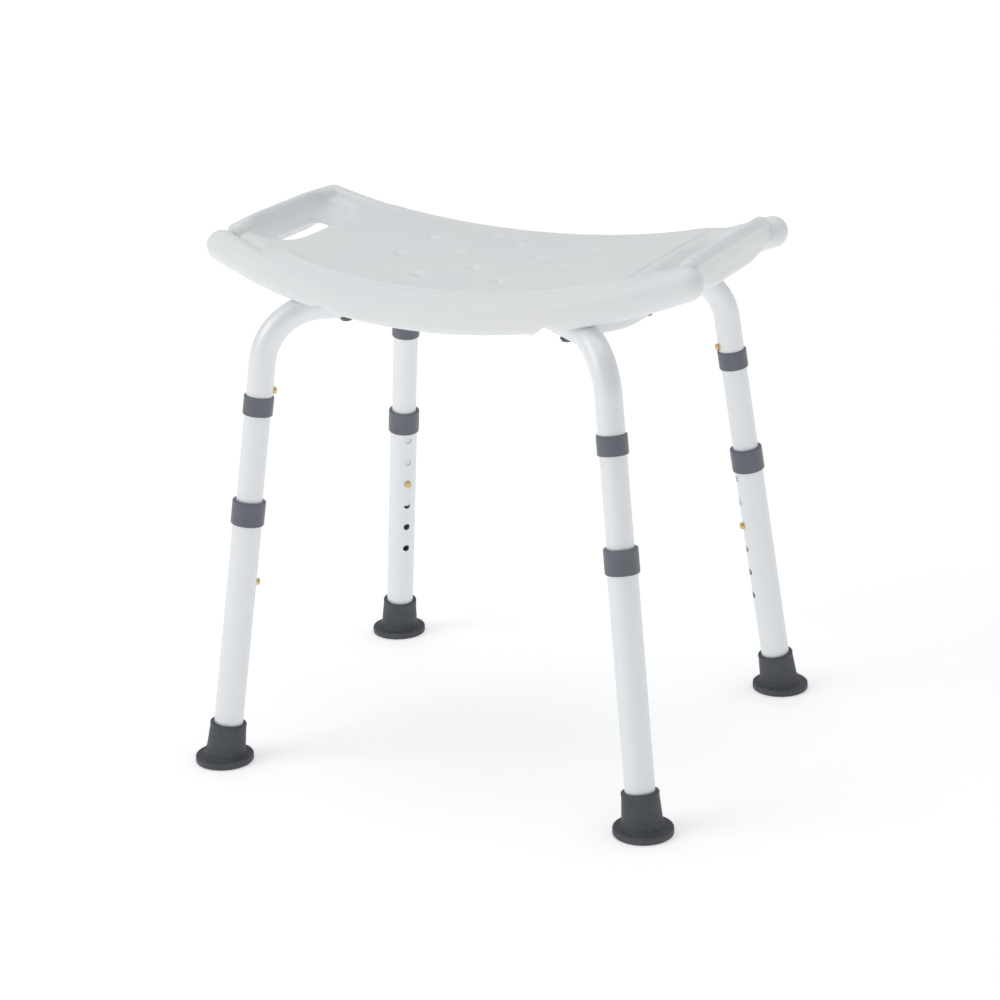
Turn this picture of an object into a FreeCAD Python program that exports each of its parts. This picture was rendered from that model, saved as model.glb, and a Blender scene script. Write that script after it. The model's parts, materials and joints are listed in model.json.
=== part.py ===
import FreeCAD, Part

import math
import os

import Sketcher

# Shower stool: a blow-moulded seat on two bent tubes that cross below it, and four legs that telescope.
# +Z is up, the origin is on the floor under the middle of the seat, X runs along the seat. Millimetres.

SIZES = {
    # stance
    "foot_reach": 288.3,  # from the middle of the stool to the middle of a foot
    "frame_angle": 40.25,  # plan angle of the crossed tubes from X, in degrees
    "leg_lean": 8.38,  # lean of a leg from the vertical, in degrees
    "frame_height": 445.0,  # middle of the crossed tubes above the floor
    "bend_radius": 56.0,
    # tubes
    "frame_tube_diameter": 25.0,
    "frame_tube_wall": 1.2,
    "lower_tube_wall": 1.4,
    "tube_fit": 0.1,  # radial clearance of one tube in the next
    "press_gap": 0.02,  # radial gap left under a pressed-on ring
    "straight_end_length": 46.14,  # from the bend to the end of a frame tube
    "neck_inset": 6.14,  # from the bend to the top of the neck that plugs in below it
    "neck_wall": 1.2,
    "swage_length": 2.5,
    "joint_gap": 0.8,  # between the end of a frame tube and the leg tube's shoulder
    "leg_tube_end": 158.0,  # measured up the leg, as all leg stations are
    "lower_tube_end": 262.0,
    # snap buttons
    "upper_button_inset": 18.6,  # from the end of the tube that the button locks
    "lower_button_inset": 26.1,
    "hole_pitch": 25.4,
    "hole_count": 6,
    "holes_above_button": 2,
    "button_diameter": 6.8,
    "button_crown": 1.53,  # rounding of the button's end
    "hole_clearance": 0.2,
    "button_proud": 3.5,
    "spring_thickness": 0.8,
    "spring_width": 7.0,
    "spring_length": 34.0,
    "spring_split": 0.3,  # gap between the fixed fold and the moving arm
    "spring_wall_gap": 0.15,
    # collars
    "upper_collar_overhang": 5.5,  # below the end of the frame tube
    "upper_collar_height": 18.6,
    "upper_collar_wall": 1.75,
    "lower_collar_lip": 3.6,  # above the end of the lower tube
    "lower_collar_height": 23.6,
    "lower_collar_wall": 2.0,
    "collar_lip_gap": 0.08,
    "collar_rounding": 0.8,
    # feet
    "foot_disc_diameter": 56.4,
    "foot_disc_height": 7.0,
    "foot_height": 40.0,
    "foot_wall_top": 3.2,
    "foot_wall_base": 5.8,
    "foot_shoulder": 2.2,
    "foot_shoulder_height": 13.0,
    "foot_socket_floor": 8.0,
    "foot_washer_height": 1.5,
    "foot_rounding": 1.2,
    # seat
    "seat_length": 500.0,
    "seat_depth_middle": 297.0,
    "seat_side_bow": 23.5,  # how much further out each long side is in the middle than at the ends
    "roll_radius": 15.0,
    "roll_middle_rise": 8.0,  # middle of the roll above the middle of the tubes, halfway along
    "roll_end_rise": 49.5,
    "bar_inset": 10.0,  # from the tip of a roll to the end bar
    "deck_over_tubes": 17.5,
    "deck_end_rise": 34.0,  # of the deck's ends over its middle
    "deck_thickness": 23.0,
    "deck_side_inset": 3.0,
    "rail_rise": 5.5,  # top of the rail along each end of the deck, above the deck's own end
    "rail_depth": 38.0,
    "rail_thickness": 18.0,
    "rail_inset": 13.0,  # from the seat's depth at the ends to the end of a rail
    "panel_rise": 2.5,
    "panel_root": 1.0,  # how far the raised panel runs down into the deck
    "panel_end_inset": 75.0,
    "panel_side_inset": 26.5,
    "panel_corner": 18.0,
    "pad_drop": 8.0,  # underside of the pad below the middle of the tubes
    "pad_end_inset": 88.0,
    "pad_side_inset": 29.5,
    "pad_corner": 74.0,
    "channel_clearance": 0.4,
    "channel_overlap": 1.5,  # how far the straight sides of a channel run up into its round top
    "seat_wall": 3.0,
    "slot_inset": 44.5,
    "slot_width": 24.0,
    "slot_length": 84.0,
    "slot_corner": 9.0,
    "dish_width": 44.0,
    "dish_length": 150.0,
    "dish_depth": 6.0,
    "drain_diameter": 6.0,
    "drain_column_step": 42.5,
    "drain_middle_reach": 49.0,  # of the two holes in the middle column
    "drain_side_reach": 85.0,
    "drain_outer_reach": 34.5,
    "boss_wall": 3.5,
    "scallop_reach": 115.0,  # along the seat to the middle of a scallop under a roll
    "scallop_radius": 17.0,
    "scallop_drop": 8.0,
    "scallop_start": 112.0,  # how far out from the middle of the seat it starts
    # fasteners
    "seat_screw_inset": 26.4,  # from the start of the tube's bend to a screw
    "screw_diameter": 6.0,
    "screw_hole_gap": 0.3,
    "screw_head_diameter": 10.5,
    "screw_head_height": 3.0,
    "screw_washer_diameter": 13.0,
    "screw_washer_height": 1.2,
    "insert_diameter": 9.0,
    "insert_length": 12.0,
    "end_screw_inset": 9.0,  # from the end of the pad
    "end_screw_diameter": 4.4,
    "end_screw_length": 14.0,
    "end_screw_head_diameter": 8.0,
    "end_screw_head_height": 4.6,
    "crimp_share": 0.88,  # half the crimp's length as a share of the tube's diameter
    "nut_across_flats": 10.0,
    "nut_height": 5.0,
    "nut_well_gap": 2.5,
    "end_gap": 1.0,  # left past the end of a screw, a nut or a thread
}

# sizes that follow from the ones above, worked out in the sheet
DERIVED = {
    "bend_tangent": "bend_radius * tan( ( 90 - leg_lean ) * 0.5 deg )",
    "bend_centre_reach": "foot_reach - frame_height * tan( leg_lean * 1 deg ) - bend_tangent",
    "bend_start_station": "frame_height / cos( leg_lean * 1 deg ) - bend_tangent",
    "lower_tube_diameter": "frame_tube_diameter + 2 * ( tube_fit + lower_tube_wall )",
    "frame_tube_end": "bend_start_station - straight_end_length",
    "neck_top": "bend_start_station - neck_inset",
    "neck_foot": "frame_tube_end - joint_gap",
    "upper_button_station": "frame_tube_end + upper_button_inset",
    "lower_button_station": "leg_tube_end + lower_button_inset",
    "upper_collar_bottom": "frame_tube_end - upper_collar_overhang",
    "lower_collar_bottom": "lower_tube_end + lower_collar_lip - lower_collar_height",
    "seat_depth_ends": "seat_depth_middle - 2 * seat_side_bow",
    "roll_middle_height": "frame_height + roll_middle_rise",
    "roll_end_height": "frame_height + roll_end_rise",
    "bar_half_length": "seat_length / 2 - bar_inset",
    "deck_top_middle": "frame_height + frame_tube_diameter / 2 + deck_over_tubes",
    "deck_top_end": "deck_top_middle + deck_end_rise",
    "panel_half_length": "seat_length / 2 - panel_end_inset",
    "panel_half_width": "seat_depth_middle / 2 - panel_side_inset",
    "pad_height": "frame_height - pad_drop",
    "pad_half_length": "seat_length / 2 - pad_end_inset",
    "pad_half_width": "seat_depth_middle / 2 - pad_side_inset",
    "slot_middle": "seat_length / 2 - slot_inset",
    "seat_screw_reach": "bend_centre_reach - seat_screw_inset",
    "end_screw_reach": "pad_half_length - end_screw_inset",
    "crimp_half_length": "frame_tube_diameter * crimp_share",
}

LEGS = {"front_left": (-1, -1), "front_right": (1, -1), "back_left": (-1, 1), "back_right": (1, 1)}
FAR = 1000.0  # long enough to pass right through the stool
NEAR = 0.01  # how close an edge must be to the place it is looked for
LEVEL = 0.001  # how far a direction may stray from straight up
X_AXIS = FreeCAD.Vector(1, 0, 0)
Y_AXIS = FreeCAD.Vector(0, 1, 0)
Z_AXIS = FreeCAD.Vector(0, 0, 1)

doc = FreeCAD.newDocument("shower_stool")
sheet = doc.addObject("Spreadsheet::Sheet", "Sizes")
for row, (alias, value) in enumerate({**SIZES, **DERIVED}.items(), start=1):
    sheet.set(f"A{row}", alias)
    sheet.set(f"B{row}", f"={value}")
    sheet.setAlias(f"B{row}", alias)
doc.recompute()

finished = []  # one document object for each sub-part


def size(alias):
    """A size, read back from the sheet."""
    return float(sheet.get(alias))


def in_sheet(text):
    """An expression with each size in it named as a cell of the sheet."""
    words = text.split(" ")
    return " ".join(f"Sizes.{word}" if word in SIZES or word in DERIVED else word for word in words)


def bind(thing, **values):
    """Gives properties their values: an expression over the sheet, or a number worked out from it."""
    for prop, value in values.items():
        if isinstance(value, str):
            thing.setExpression(prop, in_sheet(value))
        else:
            setattr(thing, prop, value)
    return thing


def vector(x=0.0, y=0.0, z=0.0):
    return FreeCAD.Vector(x, y, z)


def turned(direction):
    """The rotation that takes +Z to a direction."""
    return FreeCAD.Rotation(Z_AXIS, direction)


def cylinder(name, radius, height, at=None, along=Z_AXIS):
    rod = bind(doc.addObject("Part::Cylinder", name), Radius=radius, Height=height)
    rod.Placement = FreeCAD.Placement(at or vector(), turned(along))
    return rod


def box(name, length, width, height, corner=None, rotation=None):
    block = bind(doc.addObject("Part::Box", name), Length=length, Width=width, Height=height)
    rotation = rotation or FreeCAD.Rotation()
    block.Placement = FreeCAD.Placement(corner or vector(), rotation)
    return block


def sphere(name, radius, at):
    ball = bind(doc.addObject("Part::Sphere", name), Radius=radius)
    ball.Placement = FreeCAD.Placement(at, FreeCAD.Rotation())
    return ball


def fuse(name, shapes):
    joined = doc.addObject("Part::MultiFuse", name)
    joined.Shapes = shapes
    joined.Refine = True
    return joined


def cut(name, base, tools):
    """The base less one tool or a list of tools."""
    if isinstance(tools, list):
        tools = tools[0] if len(tools) == 1 else fuse(name + "_tools", tools)
    less = doc.addObject("Part::Cut", name)
    less.Base = base
    less.Tool = tools
    return less


def common(name, shapes):
    shared = doc.addObject("Part::MultiCommon", name)
    shared.Shapes = shapes
    return shared


def rounded(name, base, radius, wanted):
    """A fillet on the edges of the base that the test accepts."""
    doc.recompute()
    smooth = doc.addObject("Part::Fillet", name)
    smooth.Base = base
    edges = enumerate(base.Shape.Edges, start=1)
    smooth.Edges = [(number, radius, radius) for number, edge in edges if wanted(edge)]
    return smooth


def is_ring_at(edge, height, radius):
    """Whether an edge is a level circle at a height, with a radius."""
    curve = edge.Curve
    if not isinstance(curve, Part.Circle):
        return False
    near = abs(curve.Center.z - height) < NEAR and abs(curve.Radius - radius) < NEAR
    return near and abs(abs(curve.Axis.z) - 1) < LEVEL


def is_upright(edge):
    ends = [vertex.Point for vertex in edge.Vertexes]
    return len(ends) == 2 and (ends[0] - ends[1]).cross(Z_AXIS).Length < LEVEL


def finish(label, thing, placement=None):
    """Names a sub-part, puts it in place and adds it to the list that is written."""
    thing.Label = label
    if placement is not None:
        thing.Placement = placement.multiply(thing.Placement)
    finished.append(thing)
    return thing


def lathe(label, outline):
    """A body turned about its own Z from (radius, height) corners, each tied to the sheet."""
    body = doc.addObject("PartDesign::Body", label + "_body")
    sketch = body.newObject("Sketcher::SketchObject", label + "_outline")
    plane = next(part for part in body.Origin.OriginFeatures if part.Role == "XZ_Plane")
    sketch.AttachmentSupport = [(plane, "")]
    sketch.MapMode = "FlatFace"
    corners = [[evaluate(text) for text in corner] for corner in outline]
    count = len(corners)
    for index, here in enumerate(corners):
        there = corners[(index + 1) % count]
        sketch.addGeometry(Part.LineSegment(vector(*here), vector(*there)))
    for index in range(count):
        sketch.addConstraint(Sketcher.Constraint("Coincident", index, 2, (index + 1) % count, 1))
    for index, (radius, height) in enumerate(outline):
        across = Sketcher.Constraint("DistanceX", -1, 1, index, 1, corners[index][0])
        up = Sketcher.Constraint("DistanceY", -1, 1, index, 1, corners[index][1])
        bind(sketch, **{f"Constraints[{sketch.addConstraint(across)}]": radius})
        bind(sketch, **{f"Constraints[{sketch.addConstraint(up)}]": height})
    turn = body.newObject("PartDesign::Revolution", label + "_turn")
    turn.Profile = sketch
    turn.ReferenceAxis = (sketch, ["V_Axis"])
    turn.Angle = 360
    return body


def evaluate(text):
    """The value of an expression over the sheet, for a sketch's first drawing."""
    return float(sheet.evalExpression(in_sheet(text)))


# stations and directions shared by the frame, the legs and the seat

def outward(leg):
    """The plan direction from the middle of the stool to a foot."""
    side, depth = LEGS[leg]
    angle = math.radians(size("frame_angle"))
    return vector(side * math.cos(angle), depth * math.sin(angle), 0)


def leg_placement(leg):
    """Takes a piece drawn up +Z, with +X towards the middle of the stool, to its leg."""
    inward = outward(leg) * -1
    lean = math.radians(size("leg_lean"))
    up = inward * math.sin(lean) + Z_AXIS * math.cos(lean)
    across = up.cross(inward).normalize()
    towards_middle = across.cross(up)
    rotation = FreeCAD.Rotation(towards_middle, across, up, "ZXY")
    return FreeCAD.Placement(outward(leg) * size("foot_reach"), rotation)


def upright_placement(leg):
    """The same place on the floor without the lean."""
    inward = outward(leg) * -1
    rotation = FreeCAD.Rotation(inward, Z_AXIS.cross(inward), Z_AXIS, "ZXY")
    return FreeCAD.Placement(outward(leg) * size("foot_reach"), rotation)


def leg_line(side):
    """The foot and the upward direction of a leg of a crossed tube drawn in the XZ plane."""
    lean = math.radians(size("leg_lean"))
    return vector(side * size("foot_reach")), vector(-side * math.sin(lean), 0, math.cos(lean))


def tube_solid(name, radius, low_station):
    """A solid bent rod along a crossed tube that lies in the XZ plane, down to a leg station."""
    reach, height = size("bend_centre_reach"), size("frame_height")
    pieces = [cylinder(f"{name}_run", radius, "2 * bend_centre_reach", vector(-reach, 0, height), X_AXIS)]
    for side in (-1, 1):
        foot, up = leg_line(side)
        outer_side = vector(side * up.z, 0, abs(up.x))
        normal = vector(0, -side, 0)
        bend = bind(doc.addObject("Part::Torus", f"{name}_bend"), Radius1="bend_radius", Radius2=radius,
                    Angle3="90 - leg_lean")
        rotation = FreeCAD.Rotation(outer_side, normal.cross(outer_side), normal, "ZXY")
        centre = vector(side * reach, 0, height - size("bend_radius"))
        bend.Placement = FreeCAD.Placement(centre, rotation)
        length = size("bend_start_station") - low_station
        pieces += [bend, cylinder(f"{name}_leg", radius, length, foot + up * low_station, up)]
    return fuse(name, pieces)


def diagonal_placement(sign):
    """Turns a crossed tube drawn in the XZ plane to its diagonal."""
    return FreeCAD.Placement(vector(), FreeCAD.Rotation(Z_AXIS, sign * size("frame_angle")))


# frame

def frame_tube(label, sign, upper_half):
    """One crossed tube: hollow, bent at both ends, and crimped flat where it crosses the other."""
    diameter, wall = size("frame_tube_diameter"), size("frame_tube_wall")
    middle, end = size("frame_height"), size("frame_tube_end")
    half = size("crimp_half_length")
    skin = tube_solid(f"{label}_skin", "frame_tube_diameter / 2", end)
    bore = tube_solid(f"{label}_bore", "frame_tube_diameter / 2 - frame_tube_wall", end - wall)
    low = middle - diameter if upper_half else middle
    away = box(f"{label}_crimp", "2 * crimp_half_length", "2 * frame_tube_diameter", "frame_tube_diameter",
               vector(-half, -diameter, low))
    web_low = low if upper_half else middle - wall
    web = box(f"{label}_web", "2 * crimp_half_length + 2 * frame_tube_wall", "2 * frame_tube_diameter",
              "frame_tube_diameter + frame_tube_wall", vector(-half - wall, -diameter, web_low))
    tools = [cut(f"{label}_hollow", bore, web), away]
    for reach in (-size("seat_screw_reach"), 0, size("seat_screw_reach")):
        tools.append(cylinder(f"{label}_screw_hole", "screw_diameter / 2 + screw_hole_gap",
                              "2 * frame_tube_diameter", vector(reach, 0, middle - diameter)))
    for side in (-1, 1):
        foot, up = leg_line(side)
        inward = vector(-side * up.z, 0, -abs(up.x))
        tools.append(cylinder(f"{label}_button_hole", "button_diameter / 2 + hole_clearance",
                              "frame_tube_diameter", foot + up * size("upper_button_station"), inward))
    return finish(label, cut(f"{label}_cut", skin, tools), diagonal_placement(sign))


# legs

def leg_tube(leg):
    """The middle tube of a leg, with a swaged neck that plugs into the frame tube."""
    neck = "frame_tube_diameter / 2 - frame_tube_wall - tube_fit"
    outer = "frame_tube_diameter / 2"
    inner = "frame_tube_diameter / 2 - frame_tube_wall"
    outline = [
        (inner, "leg_tube_end"),
        (outer, "leg_tube_end"),
        (outer, "neck_foot - swage_length"),
        (neck, "neck_foot"),
        (neck, "neck_top"),
        (neck + " - neck_wall", "neck_top"),
        (neck + " - neck_wall", "neck_foot"),
        (inner, "neck_foot - swage_length"),
    ]
    label = "leg_tube_" + leg
    body = lathe(label, outline)
    radius = "button_diameter / 2 + hole_clearance"
    holes = [
        cylinder(label + "_hole", radius, "frame_tube_diameter", vector(z=size(station)), X_AXIS)
        for station in ("upper_button_station", "lower_button_station")
    ]
    finish(label, cut(label + "_cut", body, holes), leg_placement(leg))


def lower_tube(leg):
    """The bottom tube of a leg, with its row of height holes on the inner side."""
    outline = [
        ("frame_tube_diameter / 2 + tube_fit", "foot_socket_floor + foot_washer_height"),
        ("lower_tube_diameter / 2", "foot_socket_floor + foot_washer_height"),
        ("lower_tube_diameter / 2", "lower_tube_end"),
        ("frame_tube_diameter / 2 + tube_fit", "lower_tube_end"),
    ]
    label = "lower_tube_" + leg
    body = lathe(label, outline)
    holes = []
    for number in range(int(size("hole_count"))):
        steps = size("holes_above_button") - number
        station = size("lower_button_station") + steps * size("hole_pitch")
        holes.append(cylinder(label + "_hole", "button_diameter / 2 + hole_clearance",
                              "lower_tube_diameter", vector(z=station), X_AXIS))
    finish(label, cut(label + "_cut", body, holes), leg_placement(leg))


def upper_collar(leg):
    """The ring that covers the joint of the frame tube and the leg tube."""
    bore = "frame_tube_diameter / 2 + press_gap"
    top = "upper_collar_bottom + upper_collar_height"
    skin = bore + " + upper_collar_wall"
    outline = [
        (bore, "upper_collar_bottom"),
        (skin + " - collar_rounding", "upper_collar_bottom"),
        (skin, "upper_collar_bottom + collar_rounding"),
        (skin, top + " - collar_rounding"),
        (skin + " - collar_rounding", top),
        (bore, top),
    ]
    finish("upper_collar_" + leg, lathe("upper_collar_" + leg, outline), leg_placement(leg))


def lower_collar(leg):
    """The ring on the top of the lower tube, with a lip that guides the leg tube."""
    bore = "lower_tube_diameter / 2 + press_gap"
    lip = "frame_tube_diameter / 2 + collar_lip_gap"
    top = "lower_collar_bottom + lower_collar_height"
    skin = bore + " + lower_collar_wall"
    outline = [
        (bore, "lower_collar_bottom"),
        (skin + " - collar_rounding", "lower_collar_bottom"),
        (skin, "lower_collar_bottom + collar_rounding"),
        (skin, top + " - collar_rounding"),
        (skin + " - collar_rounding", top),
        (lip, top),
        (lip, "lower_tube_end"),
        (bore, "lower_tube_end"),
    ]
    finish("lower_collar_" + leg, lathe("lower_collar_" + leg, outline), leg_placement(leg))


def foot(leg):
    """A rubber foot: a flat disc on the floor and a leaning cone with the tube's socket in it."""
    label = "foot_" + leg
    disc = cylinder(label + "_disc", "foot_disc_diameter / 2", "foot_disc_height")
    disc_radius, disc_top = size("foot_disc_diameter") / 2, size("foot_disc_height")
    disc = rounded(label + "_disc_edge", disc, size("foot_rounding"),
                   lambda edge: is_ring_at(edge, disc_top, disc_radius))
    lean = size("leg_lean")
    tilt = FreeCAD.Placement(vector(), FreeCAD.Rotation(Y_AXIS, lean))
    socket = "lower_tube_diameter / 2 + press_gap"
    drop = "foot_disc_height / 2"
    cone = bind(doc.addObject("Part::Cone", label + "_cone"),
                Radius1=socket + " + foot_wall_base", Radius2=socket + " + foot_wall_top",
                Height="foot_height - " + drop)
    cone.Placement = FreeCAD.Placement(vector(z=size("foot_disc_height") / 2), FreeCAD.Rotation())
    top_radius = size("lower_tube_diameter") / 2 + size("press_gap") + size("foot_wall_top")
    cone_top = size("foot_height")
    cone_edge = rounded(label + "_cone_edge", cone, size("foot_rounding"),
                        lambda edge: is_ring_at(edge, cone_top, top_radius))
    step = cylinder(label + "_step", socket + " + foot_wall_base + foot_shoulder / 2",
                    "foot_shoulder_height - " + drop, vector(z=size("foot_disc_height") / 2))
    upper = fuse(label + "_upper", [cone_edge, step])
    upper.Placement = tilt
    hole = cylinder(label + "_socket", socket, "foot_height", vector(z=size("foot_socket_floor")))
    hole.Placement = tilt.multiply(hole.Placement)
    solid = fuse(label + "_solid", [disc, upper])
    finish(label, cut(label + "_cut", solid, hole), upright_placement(leg))


def foot_washer(leg):
    """The steel disc that keeps the tube's end from cutting through the foot."""
    label = "foot_washer_" + leg
    disc = cylinder(label + "_disc", "lower_tube_diameter / 2", "foot_washer_height",
                    vector(z=size("foot_socket_floor")))
    finish(label, disc, leg_placement(leg))


# snap buttons: each is drawn at height 0 with its pin along +X, and its fold below it

def spring_face(bore):
    """How far from the tube's axis the outer face of the spring strip lies, as a number."""
    half = size("spring_width") / 2
    return math.sqrt((bore - size("spring_wall_gap")) ** 2 - half ** 2)


def snap_spring(label, bore, place):
    """The fixed arm and the fold of a snap clip, pressed against the far wall of the tube."""
    face, thick, width = spring_face(bore), size("spring_thickness"), size("spring_width")
    length = size("spring_length")
    arm = box(label + "_arm", "spring_thickness", "spring_width", "spring_length + button_diameter",
              vector(-face, -width / 2, -length))
    side = vector(0, width / 2, -length)
    ring = cylinder(label + "_ring", face, "spring_width", side, Y_AXIS * -1)
    hole = cylinder(label + "_core", face - thick, "spring_width", side, Y_AXIS * -1)
    above = box(label + "_above", "2 * frame_tube_diameter", "frame_tube_diameter",
                "frame_tube_diameter",
                vector(-size("frame_tube_diameter"), -size("frame_tube_diameter") / 2, -length))
    fold = cut(label + "_fold", ring, [hole, above])
    finish(label, fuse(label + "_fuse", [arm, fold]), place)


def snap_button(label, bore, tube_radius, place):
    """The round button on the moving arm of a snap clip."""
    face, thick, width = spring_face(bore), size("spring_thickness"), size("spring_width")
    proud = tube_radius + size("button_proud")
    start = -size("spring_length") + size("spring_split")
    arm = box(label + "_arm", "spring_thickness", "spring_width",
              "spring_length + button_diameter - spring_split", vector(face - thick, -width / 2, start))
    root = face - thick / 2
    pin = cylinder(label + "_pin", "button_diameter / 2", proud - root, vector(root), X_AXIS)
    crown = rounded(label + "_crown", pin, size("button_crown"),
                    lambda edge: isinstance(edge.Curve, Part.Circle) and edge.Curve.Center.x > proud - NEAR)
    finish(label, fuse(label + "_fuse", [arm, crown]), place)


def snap_clips(leg):
    """The upper clip in the neck and the lower clip in the leg tube, folds turned to each other."""
    bore = size("frame_tube_diameter") / 2 - size("frame_tube_wall")
    neck_bore = bore - size("tube_fit") - size("neck_wall")
    upper = leg_placement(leg)
    upper = upper.multiply(FreeCAD.Placement(vector(z=size("upper_button_station")), FreeCAD.Rotation()))
    flipped = FreeCAD.Rotation(X_AXIS, 180)
    lower = leg_placement(leg)
    lower = lower.multiply(FreeCAD.Placement(vector(z=size("lower_button_station")), flipped))
    snap_spring("upper_spring_" + leg, neck_bore, upper)
    snap_button("upper_button_" + leg, neck_bore, size("frame_tube_diameter") / 2, upper)
    snap_spring("lower_spring_" + leg, bore, lower)
    snap_button("lower_button_" + leg, bore, size("lower_tube_diameter") / 2, lower)


# seat

def arc_radius(half_chord, rise):
    """The radius of an arc that rises by so much over half its chord."""
    return (half_chord ** 2 + rise ** 2) / (2 * rise)


def roll(name, depth, radius):
    """A rounded edge roll along the front or back: a tilted arc of round bar with ball ends."""
    end_x = size("seat_length") / 2 - size("roll_radius")
    bow = size("seat_side_bow")
    lift = size("roll_end_height") - size("roll_middle_height")
    rise = math.hypot(bow, lift)
    bend = arc_radius(end_x, rise)
    middle = vector(0, depth * (size("seat_depth_middle") / 2 - size("roll_radius")),
                    size("roll_middle_height"))
    to_centre = vector(0, -depth * bow / rise, lift / rise)
    half_angle = math.asin(end_x / bend)
    normal = X_AXIS.cross(to_centre)
    first = X_AXIS * -math.sin(half_angle) - to_centre * math.cos(half_angle)
    bar = bind(doc.addObject("Part::Torus", name + "_bar"), Radius1=bend, Radius2=radius,
               Angle3=math.degrees(2 * half_angle))
    rotation = FreeCAD.Rotation(first, normal.cross(first), normal, "ZXY")
    bar.Placement = FreeCAD.Placement(middle + to_centre * bend, rotation)
    end_y = depth * (size("seat_depth_ends") / 2 - size("roll_radius"))
    noses = [sphere(name + "_nose", radius, vector(side * end_x, end_y, size("roll_end_height")))
             for side in (-1, 1)]
    return fuse(name, [bar] + noses)


def plan_block(name, half_length, half_end, half_middle, low, high):
    """An upright block with straight ends and bowed sides."""
    sketch = doc.addObject("Sketcher::SketchObject", name + "_plan")
    for side in (-1, 1):
        arc = Part.Arc(vector(-half_length, side * half_end), vector(0, side * half_middle),
                       vector(half_length, side * half_end))
        sketch.addGeometry(arc)
    for side in (-1, 1):
        sketch.addGeometry(Part.LineSegment(vector(side * half_length, -half_end),
                                            vector(side * half_length, half_end)))
    sketch.Placement = FreeCAD.Placement(vector(z=low), FreeCAD.Rotation())
    block = doc.addObject("Part::Extrusion", name)
    block.Base = sketch
    block.DirMode = "Normal"
    block.LengthFwd = high - low
    block.Solid = True
    return block


def trough(name, below_top):
    """The rod whose underside is the deck's curve, that far below the deck's top."""
    bend = arc_radius(size("bar_half_length"), size("deck_end_rise"))
    start = vector(0, -size("seat_depth_middle"), size("deck_top_middle") + bend)
    return cylinder(name, bend + below_top, "2 * seat_depth_middle", start, Y_AXIS)


def rounded_block(name, half_length, half_width, corner, low, high):
    """An upright block with four round corners."""
    block = box(name + "_block", 2 * half_length, 2 * half_width, high - low,
                vector(-half_length, -half_width, low))
    return rounded(name, block, corner, is_upright)


def drain_spots():
    """The plan places of the drain holes: staggered columns about the middle."""
    step = size("drain_column_step")
    outer, side, middle = (size(f"drain_{which}_reach") for which in ("outer", "side", "middle"))
    columns = {-2: (-outer, outer), -1: (-side, 0, side), 0: (-middle, middle), 1: (-side, 0, side),
               2: (-outer, outer)}
    return [vector(column * step, place) for column, places in columns.items() for place in places]


def screw_spots():
    """The plan places of the screws that hold the seat to the crossed tubes."""
    return [outward(leg) * size("seat_screw_reach") for leg in LEGS]


def channels(name, clearance):
    """The space of both crossed tubes, open downwards, grown by a clearance."""
    radius = f"frame_tube_diameter / 2 + {clearance}"
    width = size("frame_tube_diameter") + 2 * (clearance - size("channel_clearance"))
    reach = size("bend_centre_reach") + size("bend_radius")
    low = size("frame_height") - size("frame_tube_diameter")
    pieces = []
    for sign in (-1, 1):
        rod = tube_solid(f"{name}_rod", radius, size("frame_tube_end"))
        rod.Placement = diagonal_placement(sign)
        drop = box(f"{name}_drop", 2 * reach, width, "frame_tube_diameter + channel_overlap",
                   vector(-reach, -width / 2, low))
        drop.Placement = diagonal_placement(sign).multiply(drop.Placement)
        pieces += [rod, drop]
    return fuse(name, pieces)


def end_rail(name, side):
    """The rail along one end of the deck: two level bars with a web between them."""
    radius, length = size("rail_thickness") / 2, size("seat_depth_ends") - 2 * size("rail_inset")
    x = side * (size("bar_half_length") - radius)
    top = size("deck_top_end") + size("rail_rise")
    heights = (top - radius, top - size("rail_depth") + radius)
    bars = [cylinder(f"{name}_bar", radius, length, vector(x, -length / 2, z), Y_AXIS) for z in heights]
    web = box(f"{name}_web", 2 * radius, length, heights[0] - heights[1],
              vector(x - radius, -length / 2, heights[1]))
    return fuse(name, bars + [web])


def scallops(name, grown):
    """The round hollows under the rolls, beside the places where the tubes come out."""
    start = size("scallop_start") - grown
    height = size("frame_height") - size("scallop_drop")
    return [
        cylinder(name, size("scallop_radius") + grown, size("seat_depth_middle") / 2,
                 vector(side * size("scallop_reach"), depth * start, height), Y_AXIS * depth)
        for side, depth in LEGS.values()
    ]


def seat_solid():
    """The outer form: deck, raised panel, underside pad, the two rolls and the two end rails."""
    inset = size("deck_side_inset")
    half_end = size("seat_depth_ends") / 2 - size("roll_radius") + inset
    half_middle = size("seat_depth_middle") / 2 - size("roll_radius") + inset
    low, high = size("pad_height"), size("deck_top_end") + size("roll_radius")
    plan = plan_block("deck_plan", size("bar_half_length"), half_end, half_middle, low, high)
    band = common("deck_band", [plan, trough("deck_under", size("deck_thickness"))])
    pad = rounded_block("pad", size("pad_half_length"), size("pad_half_width"), size("pad_corner"),
                        low, size("deck_top_end"))
    deck = cut("deck", fuse("deck_and_pad", [band, pad]), trough("deck_over", 0.0))
    root = size("panel_root")
    panel_block = rounded_block("panel_plan", size("panel_half_length"), size("panel_half_width"),
                                size("panel_corner"), size("deck_top_middle") - root, high)
    panel_band = common("panel_band", [panel_block, trough("panel_under", root)])
    panel = cut("panel", panel_band, trough("panel_over", -size("panel_rise")))
    rolls = [roll(name, depth, "roll_radius") for name, depth in (("front_roll", -1), ("back_roll", 1))]
    rails = [end_rail(name, side) for name, side in (("left_rail", -1), ("right_rail", 1))]
    return fuse("seat_form", [deck, panel] + rolls + rails)


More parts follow.
